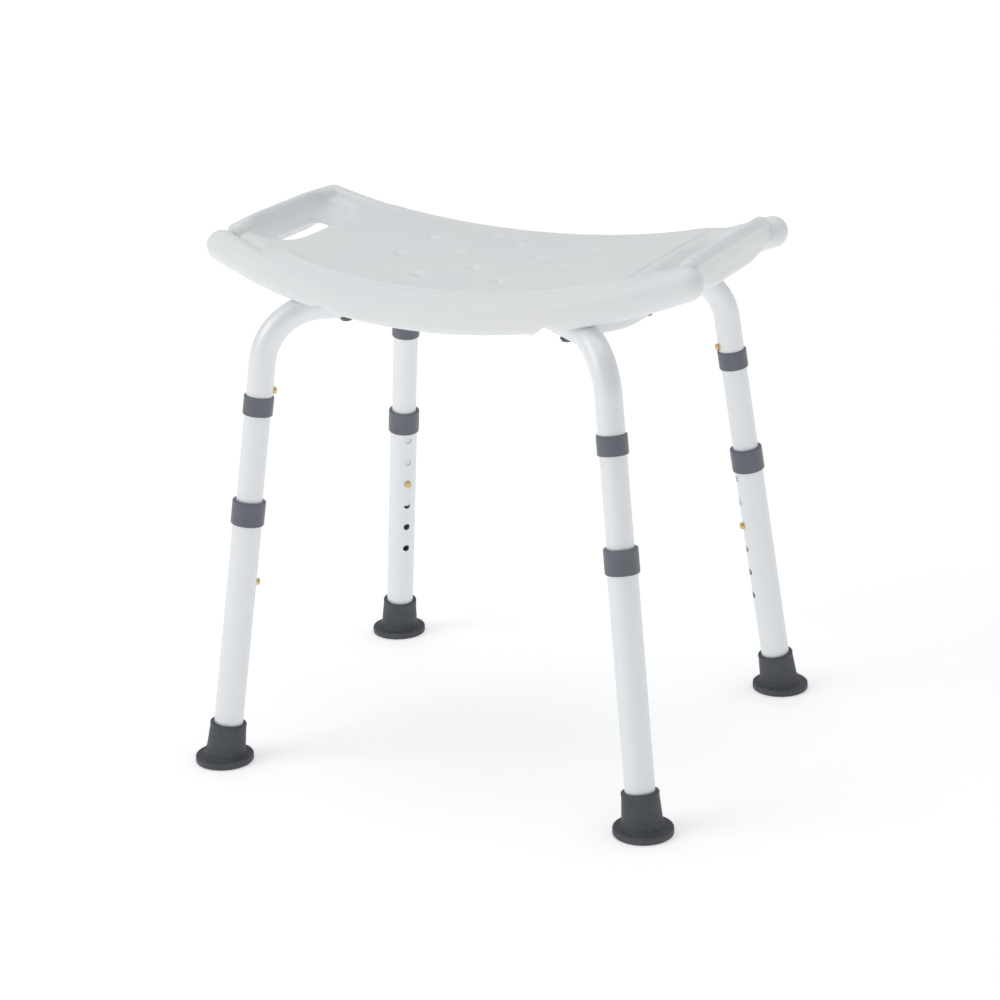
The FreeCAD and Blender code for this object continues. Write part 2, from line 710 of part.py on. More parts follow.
def seat_chamber():
    """The sealed air space inside the moulding, clear of channels, bosses and tack-offs."""
    wall = size("seat_wall")
    room = rounded_block("chamber_plan", size("pad_half_length") - wall, size("pad_half_width") - wall,
                         size("pad_corner") - wall, size("pad_height") + wall, size("deck_top_end"))
    keep_out = [channels("channel_wall", size("channel_clearance") + wall), trough("chamber_roof", wall)]
    keep_out += scallops("scallop_wall", wall)
    for spot in drain_spots():
        keep_out.append(cylinder("tack_off", "drain_diameter / 2 + boss_wall", FAR, spot))
    for spot in screw_spots():
        keep_out.append(cylinder("screw_boss", "insert_diameter / 2 + boss_wall", FAR, spot))
    keep_out.append(cylinder("nut_boss", "nut_across_flats / 2 + nut_well_gap + boss_wall", FAR))
    for side in (-1, 1):
        spot = vector(side * size("end_screw_reach"))
        keep_out.append(cylinder("end_boss", "end_screw_diameter / 2 + 2 * boss_wall", FAR, spot))
    return cut("seat_chamber", room, keep_out)


def roll_chambers():
    """The sealed air space inside each roll."""
    inner = "roll_radius - seat_wall"
    rolls = [roll(name, depth, inner) for name, depth in (("front_air", -1), ("back_air", 1))]
    wall = size("seat_wall")
    walls = [channels("roll_channel_wall", size("channel_clearance") + wall)] + scallops("roll_scallop", wall)
    return cut("roll_chambers", fuse("roll_airs", rolls), walls)


def handle_tools():
    """The hand slots and the finger dishes above them, one at each end."""
    tools = []
    bend = arc_radius(size("bar_half_length"), size("deck_end_rise"))
    middle = size("slot_middle")
    slope = math.asin(middle / bend)
    top = size("deck_top_middle") + bend - bend * math.cos(slope)
    for side in (-1, 1):
        lean = FreeCAD.Rotation(Y_AXIS, -side * math.degrees(slope))
        at = FreeCAD.Placement(vector(side * middle, 0, top), lean)
        slot = rounded_block("slot", size("slot_width") / 2, size("slot_length") / 2,
                             size("slot_corner"), -2 * size("deck_thickness"), size("deck_thickness"))
        dish = rounded_block("dish", size("dish_width") / 2, size("dish_length") / 2,
                             size("slot_corner"), -size("dish_depth"), size("deck_thickness"))
        for tool in (slot, dish):
            tool.Placement = at.multiply(tool.Placement)
        tools += [slot, dish]
    return tools


def seat():
    """The seat moulding with its channels, slots, drain holes and screw seats."""
    tools = [channels("tube_channel", size("channel_clearance"))] + handle_tools() + scallops("scallop", 0.0)
    middle = vector(z=size("frame_height"))
    for spot in drain_spots():
        tools.append(cylinder("drain", "drain_diameter / 2", FAR, spot))
    for spot in screw_spots():
        tools.append(cylinder("insert_well", "insert_diameter / 2 + press_gap", insert_roof() - middle.z,
                              spot + middle))
    tools.append(cylinder("nut_well", "nut_across_flats / 2 + nut_well_gap",
                          "frame_tube_diameter / 2 + nut_height + end_gap", middle))
    for side in (-1, 1):
        tools.append(cylinder("end_screw_well", "end_screw_diameter / 2 + press_gap",
                              "end_screw_length + end_gap",
                              vector(side * size("end_screw_reach"), 0, size("pad_height"))))
    outer = cut("seat_outer", seat_solid(), tools)
    finish("seat", cut("seat_cut", outer, [seat_chamber(), roll_chambers()]))


# fasteners

def insert_roof():
    """The top of the threaded inserts in the seat."""
    top_of_tube = size("frame_height") + size("frame_tube_diameter") / 2
    return top_of_tube + size("channel_clearance") + size("insert_length")


def screw(name, kind, spot, length):
    """A round-headed screw that stands on its head, with its shank's foot at a spot."""
    radius, height = size(f"{kind}_head_diameter") / 2, size(f"{kind}_head_height")
    low = spot.z - height
    head = cylinder(f"{name}_head", radius, height, spot - Z_AXIS * height)
    head = rounded(f"{name}_round", head, height / 2, lambda edge: is_ring_at(edge, low, radius))
    shank = cylinder(f"{name}_shank", f"{kind}_diameter / 2", length, spot)
    return fuse(name, [head, shank])


def sleeve(name, outer, bore, height, bore_height, spot):
    """A round sleeve with a bore up from its foot."""
    skin = cylinder(f"{name}_skin", outer, height, spot)
    return cut(name, skin, cylinder(f"{name}_bore", bore, bore_height, spot))


def group(label, pieces):
    """Several like pieces as one sub-part."""
    compound = doc.addObject("Part::Compound", label + "_group")
    compound.Links = pieces
    finish(label, compound)


def seat_fasteners():
    """The screws, washers and threaded inserts that hold the seat to the frame."""
    washer_low = vector(z=size("frame_height") - size("frame_tube_diameter") / 2 - size("screw_washer_height"))
    insert_low = vector(z=insert_roof() - size("insert_length"))
    length = insert_roof() - size("end_gap") - washer_low.z
    spots = screw_spots()
    group("seat_screws", [screw("seat_screw", "screw", spot + washer_low, length) for spot in spots])
    group("seat_screw_washers", [
        sleeve("screw_washer", "screw_washer_diameter / 2", "screw_diameter / 2 + screw_hole_gap",
               "screw_washer_height", "screw_washer_height", spot + washer_low)
        for spot in spots
    ])
    group("seat_inserts", [
        sleeve("insert", "insert_diameter / 2", "screw_diameter / 2 + press_gap",
               "insert_length", "insert_length - end_gap", spot + insert_low)
        for spot in spots
    ])


def end_screws():
    """The two short screws that close the ends of the underside pad."""
    spots = [vector(side * size("end_screw_reach"), 0, size("pad_height")) for side in (-1, 1)]
    group("seat_end_screws", [screw("end_screw", "end_screw", spot, "end_screw_length") for spot in spots])


def centre_bolt():
    """The bolt and nut that clamp the two tubes where they cross."""
    radius = size("frame_tube_diameter") / 2
    low, high = vector(z=size("frame_height") - radius), vector(z=size("frame_height") + radius)
    finish("centre_bolt", screw("bolt", "screw", low, "frame_tube_diameter + nut_height"))
    prism = bind(doc.addObject("Part::Prism", "nut_prism"), Height="nut_height",
                 Circumradius="nut_across_flats / sqrt( 3 )")
    prism.Polygon = 6
    prism.Placement = FreeCAD.Placement(high, FreeCAD.Rotation())
    thread = cylinder("nut_thread", "screw_diameter / 2 + press_gap", "nut_height", high)
    finish("centre_nut", cut("nut", prism, thread))


def check_and_write():
    """Stops on any failed object or broken shape, then writes one file for each sub-part."""
    doc.recompute()
    failed = [thing.Name for thing in doc.Objects if {"Invalid", "Error"} & set(thing.State)]
    broken = [thing.Label for thing in finished if thing.Shape.isNull() or not thing.Shape.isValid()]
    if failed or broken:
        raise SystemExit(f"failed: {failed}; broken: {broken}")
    os.makedirs("parts", exist_ok=True)
    for thing in finished:
        thing.Shape.exportStep(os.path.join("parts", thing.Label + ".step"))
        solids = len(thing.Shape.Solids)
        print(f"{thing.Label}: {solids} solid(s), {thing.Shape.Volume / 1000:.2f} cm3")


frame_tube("frame_tube_a", 1, True)
frame_tube("frame_tube_b", -1, False)
seat()
seat_fasteners()
end_screws()
centre_bolt()
for leg in LEGS:
    leg_tube(leg)
    upper_collar(leg)
    lower_tube(leg)
    lower_collar(leg)
    foot(leg)
    foot_washer(leg)
    snap_clips(leg)
check_and_write()
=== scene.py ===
"""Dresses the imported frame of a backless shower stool: seat shell, crossed tubes, legs, feet and fixings.

Sizes are millimetres in the frame's own axes (+Z up, +X along the seat, +Y from its front edge to its back).
They become metres when a mesh is made.
"""

import itertools
import json
import logging
import math
from collections.abc import Callable, Sequence
from dataclasses import dataclass
from enum import Enum

import bpy
import numpy as np
from mathutils import Matrix, Vector


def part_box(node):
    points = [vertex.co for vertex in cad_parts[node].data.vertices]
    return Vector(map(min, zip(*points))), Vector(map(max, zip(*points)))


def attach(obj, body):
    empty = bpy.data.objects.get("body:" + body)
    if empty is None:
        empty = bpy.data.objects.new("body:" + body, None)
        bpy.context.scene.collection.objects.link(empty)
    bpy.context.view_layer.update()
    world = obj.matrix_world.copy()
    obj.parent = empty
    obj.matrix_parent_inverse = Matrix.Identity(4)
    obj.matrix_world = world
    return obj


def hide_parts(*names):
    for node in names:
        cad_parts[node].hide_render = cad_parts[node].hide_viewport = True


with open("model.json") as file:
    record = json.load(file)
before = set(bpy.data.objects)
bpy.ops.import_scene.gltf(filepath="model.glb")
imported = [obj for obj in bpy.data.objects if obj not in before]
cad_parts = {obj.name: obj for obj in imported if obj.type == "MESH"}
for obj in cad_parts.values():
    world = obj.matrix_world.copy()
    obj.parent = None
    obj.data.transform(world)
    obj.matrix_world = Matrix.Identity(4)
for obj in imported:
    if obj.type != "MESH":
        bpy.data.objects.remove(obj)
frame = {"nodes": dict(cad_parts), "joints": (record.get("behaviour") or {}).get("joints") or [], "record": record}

MM = 0.001
BEND_RADIUS = 56.0
LOG = logging.getLogger("shower_stool")
Rule = Callable[[np.ndarray, np.ndarray, np.ndarray], np.ndarray]


class Leg(Enum):
    """The four legs, by the ending of their nodes' names."""

    FRONT_LEFT = "front_left"
    FRONT_RIGHT = "front_right"
    BACK_LEFT = "back_left"
    BACK_RIGHT = "back_right"


# ---------------------------------------------------------------- reading the frame


def node_points(node: str) -> np.ndarray:
    """Reads the corners of a node's mesh.

    Args:
        node: The node's name.

    Returns:
        One row of x, y and z for each corner, in millimetres.
    """
    vertices = frame["nodes"][node].data.vertices
    flat = np.empty(len(vertices) * 3, dtype=np.float32)
    vertices.foreach_get("co", flat)
    return flat.reshape(-1, 3).astype(float) / MM


def node_box(node: str) -> tuple[Vector, Vector]:
    """Reads a node's box.

    Args:
        node: The node's name.

    Returns:
        The lowest and the highest corner, in millimetres.
    """
    low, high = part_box(node)
    return low / MM, high / MM


def body_of(node: str) -> str:
    """Finds the body that a node belongs to.

    Args:
        node: The node's name.

    Returns:
        The body's name.
    """
    bodies = frame["record"]["behaviour"]["bodies"]
    return next(body for body, nodes in bodies.items() if node in nodes)


def spots_of(node: str) -> list[tuple[float, float, float, float]]:
    """Finds the upright pieces of a node, at most one in each quarter of the plan and on each middle line.

    Args:
        node: The name of a node that holds several screws or washers.

    Returns:
        The middle x and y, the lowest z and the highest z of each piece.
    """
    points = node_points(node)
    middle_band = 20.0
    quarter = np.sign(np.round(points[:, :2] / middle_band)) @ (3, 1)
    found = []
    for key in np.unique(quarter):
        part = points[quarter == key]
        low, high = part.min(0), part.max(0)
        found.append((*(low[:2] + high[:2]) / 2, low[2], high[2]))
    return found


@dataclass(frozen=True)
class LegLine:
    """The line of one leg: its sole, the way up the leg, and the way across it to the stool's middle."""

    leg: Leg
    sole: Vector
    up: Vector
    inward: Vector

    @classmethod
    def read(cls, leg: Leg) -> "LegLine":
        """Reads a leg's line from the record's mounts and joints.

        Args:
            leg: The leg to read.

        Returns:
            The leg's line.
        """
        mounts = frame["record"]["mounts"]
        sole = next(Vector(m["pos_m"]) / MM for m in mounts if m["name"] == f"sole_{leg.value}")
        name = f"leg_height_{leg.value}"
        up = -next(Vector(j["axis"]) for j in frame["joints"] if j["name"] == name).normalized()
        level = Vector((-sole.x, -sole.y, 0)).normalized()
        inward = (level - up * level.dot(up)).normalized()
        return cls(leg, sole, up, inward)

    def turn(self) -> np.ndarray:
        """Gives the leg's own axes (inward, sideways, up) as the columns of a matrix."""
        return np.array([self.inward, self.up.cross(self.inward), self.up]).T

    def place(self, points: np.ndarray) -> np.ndarray:
        """Takes points from the leg's own axes to the frame's.

        Args:
            points: Rows of inward, sideways and up-the-leg distances from the sole.

        Returns:
            The same points in the frame's axes.
        """
        return points @ self.turn().T + np.array(self.sole)

    def along(self, node: str) -> tuple[float, float]:
        """Measures how far up the leg a node starts and ends.

        Args:
            node: The node's name.

        Returns:
            The lowest and the highest distance from the sole.
        """
        reach = (node_points(node) - np.array(self.sole)) @ np.array(self.up)
        return float(reach.min()), float(reach.max())

    def radius(self, node: str) -> float:
        """Measures how far a node stands out from the leg's line.

        Args:
            node: The node's name.

        Returns:
            The largest distance from the line.
        """
        local = (node_points(node) - np.array(self.sole)) @ self.turn()
        return float(np.hypot(local[:, 0], local[:, 1]).max())


# ---------------------------------------------------------------- finishes


class Shader:
    """The node tree of one material, with short ways to add and join nodes."""

    def __init__(self, name: str) -> None:
        """Starts a material whose patterns sit on Object coordinates.

        Args:
            name: The material's name.
        """
        self.material = bpy.data.materials.new(name)
        self.material.use_nodes = True
        self.tree = self.material.node_tree
        self.surface = self.tree.nodes["Principled BSDF"]
        self.spot = self.add("ShaderNodeTexCoord").outputs["Object"]

    def add(self, kind: str, **settings: object) -> bpy.types.Node:
        """Adds a node.

        Args:
            kind: The node's type.
            **settings: Values for the node's own properties.

        Returns:
            The new node.
        """
        node = self.tree.nodes.new(kind)
        for key, value in settings.items():
            setattr(node, key, value)
        return node

    def join(self, source: bpy.types.NodeSocket, target: bpy.types.NodeSocket) -> None:
        """Links one socket to another."""
        self.tree.links.new(source, target)

    def noise(self, size: float, detail: float = 3.0,
              stretch: Sequence[float] = (1, 1, 1)) -> bpy.types.NodeSocket:
        """Adds a noise pattern.

        Args:
            size: The pattern's grain, in millimetres.
            detail: How many finer layers it has.
            stretch: How much finer it runs along each axis.

        Returns:
            The pattern's strength, from 0 to 1.
        """
        mapping = self.add("ShaderNodeMapping")
        mapping.inputs["Scale"].default_value = stretch
        self.join(self.spot, mapping.inputs["Vector"])
        texture = self.add("ShaderNodeTexNoise")
        texture.inputs["Scale"].default_value = 1 / (size * MM)
        texture.inputs["Detail"].default_value = detail
        self.join(mapping.outputs["Vector"], texture.inputs["Vector"])
        return texture.outputs["Fac"]

    def cells(self, size: float) -> bpy.types.NodeSocket:
        """Adds a pattern of small pebbles.

        Args:
            size: The width of one pebble, in millimetres.

        Returns:
            The distance from each pebble's middle.
        """
        texture = self.add("ShaderNodeTexVoronoi", feature="SMOOTH_F1")
        texture.inputs["Scale"].default_value = 1 / (size * MM)
        self.join(self.spot, texture.inputs["Vector"])
        return texture.outputs["Distance"]

    def spread(self, source: bpy.types.NodeSocket, low: float, high: float,
               start: float = 0.0, end: float = 1.0) -> bpy.types.NodeSocket:
        """Maps a pattern's strength onto another range.

        Args:
            source: The pattern.
            low: The strength that gives the start value.
            high: The strength that gives the end value.
            start: The value at the low strength.
            end: The value at the high strength.

        Returns:
            The mapped value.
        """
        node = self.add("ShaderNodeMapRange", interpolation_type="SMOOTHSTEP")
        for key, value in (("From Min", low), ("From Max", high), ("To Min", start), ("To Max", end)):
            node.inputs[key].default_value = value
        self.join(source, node.inputs["Value"])
        return node.outputs["Result"]

    def blend(self, amount: bpy.types.NodeSocket, first: object, second: object) -> bpy.types.NodeSocket:
        """Mixes two colours by a pattern.

        Args:
            amount: The pattern.
            first: The colour, or the socket of one, where the pattern is 0.
            second: The colour where the pattern is 1.

        Returns:
            The mixed colour.
        """
        node = self.add("ShaderNodeMix", data_type="RGBA")
        self.join(amount, node.inputs["Factor"])
        for socket, colour in ((node.inputs["A"], first), (node.inputs["B"], second)):
            if isinstance(colour, bpy.types.NodeSocket):
                self.join(colour, socket)
            else:
                socket.default_value = (*colour, 1)
        return node.outputs["Result"]

    def relief(self, height: bpy.types.NodeSocket, depth: float,
               under: bpy.types.NodeSocket | None = None) -> bpy.types.NodeSocket:
        """Adds a bump layer.

        Args:
            height: The pattern that lifts the surface.
            depth: How far it lifts, in millimetres.
            under: The layer below, if there is one.

        Returns:
            The normal that the layer gives.
        """
        node = self.add("ShaderNodeBump")
        node.inputs["Distance"].default_value = depth * MM
        node.inputs["Strength"].default_value = 1.0
        self.join(height, node.inputs["Height"])
        if under is not None:
            self.join(under, node.inputs["Normal"])
        return node.outputs["Normal"]


@dataclass(frozen=True)
class Finish:
    """What every finish says: two close colours, a range of gloss, and a relief in two scales."""

    name: str
    slot: str
    colour: tuple[float, float, float]
    second: tuple[float, float, float]
    mottle: float = 45.0
    gloss: tuple[float, float] = (0.4, 0.5)
    grain: float = 0.7
    grain_depth: float = 0.02
    wave: float = 14.0
    wave_depth: float = 0.02

    def material(self) -> bpy.types.Material:
        """Builds the material once, and gives the same one after that.

        Returns:
            The finished material.
        """
        made = bpy.data.materials.get(self.name)
        if made is None:
            shader = Shader(self.name)
            self.paint(shader)
            made = shader.material
        return made

    def paint(self, shader: Shader) -> None:
        """Lays down colour, gloss and relief.

        Args:
            shader: The material's nodes.
        """
        patch = shader.spread(shader.noise(self.mottle), 0.35, 0.65)
        shader.join(self.coloured(shader, patch), shader.surface.inputs["Base Color"])
        rough = shader.spread(shader.noise(self.mottle / 5, 4.0), 0.3, 0.7, *self.gloss)
        shader.join(rough, shader.surface.inputs["Roughness"])
        low = shader.relief(shader.noise(self.wave, 1.0), self.wave_depth)
        fine = shader.relief(self.grained(shader), self.grain_depth, low)
        shader.join(fine, shader.surface.inputs["Normal"])

    def coloured(self, shader: Shader, patch: bpy.types.NodeSocket) -> bpy.types.NodeSocket:
        """Gives the colour: the two shades in soft patches."""
        return shader.blend(patch, self.colour, self.second)

    def grained(self, shader: Shader) -> bpy.types.NodeSocket:
        """Gives the fine relief's pattern."""
        return shader.noise(self.grain, 2.0)


@dataclass(frozen=True)
class MouldedPlastic(Finish):
    """Plastic straight from the mould: a pebbled grain, faint scuffs, and light that soaks in a little."""

    scuff: tuple[float, float, float] = (0.9, 0.9, 0.9)
    soak: float = 0.0
    soak_depth: float = 3.0

    def paint(self, shader: Shader) -> None:
        """Adds the soaking light to the plain finish."""
        super().paint(shader)
        shader.surface.inputs["Subsurface Weight"].default_value = self.soak
        shader.surface.inputs["Subsurface Scale"].default_value = self.soak_depth * MM
        shader.surface.inputs["Subsurface Radius"].default_value = (1.0, 0.95, 0.85)

    def coloured(self, shader: Shader, patch: bpy.types.NodeSocket) -> bpy.types.NodeSocket:
        """Adds thin scuffs over the two shades."""
        rubbed = shader.spread(shader.noise(5.0, 5.0, (1, 6, 2)), 0.66, 0.78, 0.0, 0.35)
        return shader.blend(rubbed, super().coloured(shader, patch), self.scuff)

    def grained(self, shader: Shader) -> bpy.types.NodeSocket:
        """Gives pebbles in place of plain noise."""
        return shader.cells(self.grain)


@dataclass(frozen=True)
class PowderCoat(Finish):
    """Sprayed and baked powder: a clear top gloss over a faint orange peel."""

    coat: float = 0.4
    coat_roughness: float = 0.12

    def paint(self, shader: Shader) -> None:
        """Adds the clear gloss to the plain finish."""
        super().paint(shader)
        shader.surface.inputs["Coat Weight"].default_value = self.coat
        shader.surface.inputs["Coat Roughness"].default_value = self.coat_roughness


@dataclass(frozen=True)
class Rubber(Finish):
    """Moulded rubber: dull, with a dusting of pale specks where it meets the floor."""

    dust: tuple[float, float, float] = (0.22, 0.21, 0.2)

    def coloured(self, shader: Shader, patch: bpy.types.NodeSocket) -> bpy.types.NodeSocket:
        """Adds dust to the two shades."""
        specks = shader.spread(shader.noise(1.6, 6.0), 0.6, 0.75, 0.0, 0.3)
        return shader.blend(specks, super().coloured(shader, patch), self.dust)


@dataclass(frozen=True)
class Metal(Finish):
    """Bare or plated metal with drawn scratches."""

    scratch: float = 3.0

    def paint(self, shader: Shader) -> None:
        """Makes the plain finish metallic."""
        super().paint(shader)
        shader.surface.inputs["Metallic"].default_value = 1.0

    def grained(self, shader: Shader) -> bpy.types.NodeSocket:
        """Gives fine lines that run up the part."""
        return shader.noise(self.scratch, 4.0, (9, 9, 1))


SEAT_PLASTIC = MouldedPlastic(
    "seat_polyethylene", "seat_plastic", (0.79, 0.815, 0.825), (0.815, 0.83, 0.825), mottle=90.0,
    gloss=(0.36, 0.46), grain=0.9, grain_depth=0.012, wave=30.0, wave_depth=0.05, soak=0.12)
POWDER = PowderCoat(
    "white_powder_coat", "white_powder_coat", (0.735, 0.80, 0.87), (0.75, 0.81, 0.875), mottle=70.0,
    gloss=(0.24, 0.32), grain=1.1, grain_depth=0.008, wave=6.0, wave_depth=0.012)
COLLAR_GREY = MouldedPlastic(
    "collar_grey", "grey_collar_plastic", (0.125, 0.133, 0.163), (0.14, 0.147, 0.172), mottle=20.0,
    gloss=(0.33, 0.45), grain=0.5, grain_depth=0.01, wave=5.0, wave_depth=0.02, scuff=(0.3, 0.3, 0.31))
FOOT_RUBBER = Rubber(
    "foot_rubber", "grey_rubber", (0.056, 0.062, 0.074), (0.068, 0.073, 0.085), mottle=18.0,
    gloss=(0.5, 0.68), grain=0.6, grain_depth=0.03, wave=7.0, wave_depth=0.04)
BUTTON_BRASS = Metal(
    "button_brass", "button_brass", (0.70, 0.46, 0.14), (0.82, 0.60, 0.25), mottle=4.0,
    gloss=(0.2, 0.34), grain_depth=0.01, wave=3.0, wave_depth=0.01)
DARK_ZINC = Metal(
    "dark_zinc", "dark_zinc_steel", (0.11, 0.11, 0.12), (0.2, 0.2, 0.205), mottle=5.0,
    gloss=(0.3, 0.5), grain_depth=0.01, wave=3.0, wave_depth=0.01)
ZINC = Metal(
    "bright_zinc", "zinc_steel", (0.55, 0.56, 0.58), (0.66, 0.66, 0.66), mottle=6.0,
    gloss=(0.28, 0.42), grain_depth=0.01, wave=3.0, wave_depth=0.01)
INSERT_BRASS = Metal(
    "insert_brass", "insert_brass", (0.68, 0.5, 0.22), (0.75, 0.58, 0.3), mottle=4.0,
    gloss=(0.3, 0.45), grain_depth=0.01, wave=3.0, wave_depth=0.01)
SPRING_STEEL = Metal(
    "spring_steel", "spring_steel", (0.45, 0.42, 0.35), (0.55, 0.52, 0.45), mottle=6.0,
    gloss=(0.28, 0.4), grain_depth=0.01, wave=3.0, wave_depth=0.01)


# ---------------------------------------------------------------- meshes


def make_piece(name: str, points: np.ndarray, faces: Sequence[Sequence[int]], finish: Finish, body: str,
               stands_for: Sequence[str] = (), normals: np.ndarray | None = None) -> bpy.types.Object:
    """Makes one finished piece that rides on a body.

    Args:
        name: The piece's name.
        points: Its corners in the frame's axes, in millimetres.
        faces: Its faces, as corner numbers that run anticlockwise seen from outside.
        finish: What it is made of.
        body: The body that carries it.
        stands_for: The nodes that it takes the place of.
        normals: The way the surface faces at each corner, where that is known exactly.

    Returns:
        The piece.
    """
    mesh = bpy.data.meshes.new(name)
    mesh.from_pydata((points * MM).tolist(), [], [list(face) for face in faces])
    mesh.shade_smooth()
    if normals is not None:
        mesh.normals_split_custom_set_from_vertices(normals.tolist())
    mesh.validate()
    piece = bpy.data.objects.new(name, mesh)
    bpy.context.scene.collection.objects.link(piece)
    return dress(piece, finish, body, stands_for)


def dress(piece: bpy.types.Object, finish: Finish, body: str,
          stands_for: Sequence[str] = ()) -> bpy.types.Object:
    """Gives a piece its material, its body and the nodes that it stands for.

    Args:
        piece: The piece.
        finish: What it is made of.
        body: The body that carries it.
        stands_for: The nodes that it takes the place of.

    Returns:
        The same piece.
    """
    piece.data.materials.clear()
    piece.data.materials.append(finish.material())
    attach(piece, body)
    if stands_for:
        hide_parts(*stands_for)
    LOG.info("%s: %d faces on %s", piece.name, len(piece.data.polygons), body)
    return piece


def dress_node(node: str, finish: Finish) -> None:
    """Gives a carried-over node its material.

    Args:
        node: The node's name.
        finish: What it is made of.
    """
    mesh = frame["nodes"][node].data
    mesh.materials.clear()
    mesh.materials.append(finish.material())
    LOG.info("%s: kept, %s", node, finish.name)


def smooth_step(low: float, high: float, value: np.ndarray) -> np.ndarray:
    """Rises from 0 to 1 between two values, level at both ends."""
    share = np.clip((value - low) / (high - low), 0.0, 1.0)
    return share * share * (3 - 2 * share)


def joined(first: np.ndarray, second: np.ndarray, rounding: float | np.ndarray) -> np.ndarray:
    """Distance to two shapes as one, with a fillet where they meet."""
    inner = np.hypot(np.maximum(rounding - first, 0), np.maximum(rounding - second, 0))
    return np.maximum(rounding, np.minimum(first, second)) - inner


def shared(first: np.ndarray, second: np.ndarray, rounding: float | np.ndarray) -> np.ndarray:
    """Distance to what two shapes share, with its edge rounded."""
    outer = np.hypot(np.maximum(rounding + first, 0), np.maximum(rounding + second, 0))
    return np.minimum(-rounding, np.maximum(first, second)) + outer


def less(first: np.ndarray, second: np.ndarray, rounding: float | np.ndarray) -> np.ndarray:
    """Distance to one shape less another, with the cut's edge rounded."""
    return shared(first, -second, rounding)


def rounded_rectangle(across: np.ndarray, along: np.ndarray, half_across: float, half_along: float,
                      corner: float) -> np.ndarray:
    """Distance to a rectangle with round corners, in its own plane.

    Args:
        across: Distance from the middle one way.
        along: Distance from the middle the other way.
        half_across: Half its size one way.
        half_along: Half its size the other way.
        corner: The radius of its corners.

    Returns:
        The distance, below 0 inside.
    """
    past_across = np.abs(across) - (half_across - corner)
    past_along = np.abs(along) - (half_along - corner)
    outside = np.hypot(np.maximum(past_across, 0), np.maximum(past_along, 0))
    return outside + np.minimum(np.maximum(past_across, past_along), 0) - corner


@dataclass
class Moulding:
    """A closed skin over a solid that a distance rule describes: below 0 inside it, above 0 outside."""

    rule: Rule
    axes: tuple[np.ndarray, np.ndarray, np.ndarray]
    rounds: int = 4
    probe: float = 0.02
    largest_step: float = 1.5

    def skin(self) -> tuple[np.ndarray, np.ndarray, np.ndarray]:
        """Nets the solid with one corner for each grid cell on its surface, and draws the net tight.

        Returns:
            The corners, the four-sided faces, and the way the surface faces at each corner.
        """
        points, faces = self.net()
        for _ in range(self.rounds):
            points = self.onto_surface(self.relaxed(points, faces))
        for _ in range(2):
            points = self.onto_surface(points)
        slope = self.slope(points)
        return points, faces, slope / np.linalg.norm(slope, axis=1, keepdims=True)

    def net(self) -> tuple[np.ndarray, np.ndarray]:
        """Makes the loose net.

        Returns:
            The corners at the middles of their cells, and the faces.
        """
        xs, ys, zs = self.axes
        inside = self.rule(xs[:, None, None], ys[None, :, None], zs[None, None, :]) < 0
        last = [count - 1 for count in inside.shape]
        filled = sum(
            inside[i:last[0] + i, j:last[1] + j, k:last[2] + k].astype(np.int8)
            for i, j, k in itertools.product((0, 1), repeat=3)
        )
        active = (filled > 0) & (filled < 8)
        number = np.full(active.shape, -1)
        number[active] = np.arange(active.sum())
        cells = np.argwhere(active)
        middles = [(axis[:-1] + axis[1:]) / 2 for axis in self.axes]
        points = np.stack([middles[way][cells[:, way]] for way in range(3)], axis=1)
        faces = []
        for way in range(3):
            first, second = np.eye(3, dtype=int)[[(way + 1) % 3, (way + 2) % 3]]
            before = inside.take(range(last[way]), axis=way)
            after = inside.take(range(1, last[way] + 1), axis=way)
            for leaving, order in ((before & ~after, 1), (after & ~before, -1)):
                at = np.argwhere(leaving)
                ring = [at - first - second, at - second, at, at - first]
                faces.append(np.stack([number[tuple(cell.T)] for cell in ring], axis=1)[:, ::order])
        return points, np.concatenate(faces)

    def relaxed(self, points: np.ndarray, faces: np.ndarray) -> np.ndarray:
        """Moves each corner half way to the middle of its neighbours.

        Args:
            points: The corners.
            faces: The faces.

        Returns:
            The moved corners.
        """
        start = faces.ravel()
        end = np.roll(faces, -1, axis=1).ravel()
        count = np.bincount(start, minlength=len(points)) + np.bincount(end, minlength=len(points))
        total = np.empty_like(points)
        for way in range(3):
            column = points[:, way]
            ahead = np.bincount(start, column[end], len(points))
            behind = np.bincount(end, column[start], len(points))
            total[:, way] = ahead + behind
        return (points + total / count[:, None]) / 2

    def slope(self, points: np.ndarray) -> np.ndarray:
        """Measures how the distance changes round each point.

        Args:
            points: The points.

        Returns:
            The change for each millimetre along X, Y and Z.
        """
        ways = np.eye(3) * self.probe
        rise = [self.rule(*(points + way).T) - self.rule(*(points - way).T) for way in ways]
        return np.stack(rise, axis=1) / (2 * self.probe)

    def onto_surface(self, points: np.ndarray) -> np.ndarray:
        """Moves points straight onto the surface.

        Args:
            points: Points near the surface.

        Returns:
            The moved points.
        """
        slope = self.slope(points)
        distance = self.rule(*points.T) / np.maximum((slope * slope).sum(1), 0.05)
        step = np.clip(distance, -self.largest_step, self.largest_step)
        return points - slope * step[:, None]


@dataclass(frozen=True)
class Corner:
    """One corner of a turned piece's outline, with its rounding."""

    radius: float
    height: float
    rounding: float = 0.3


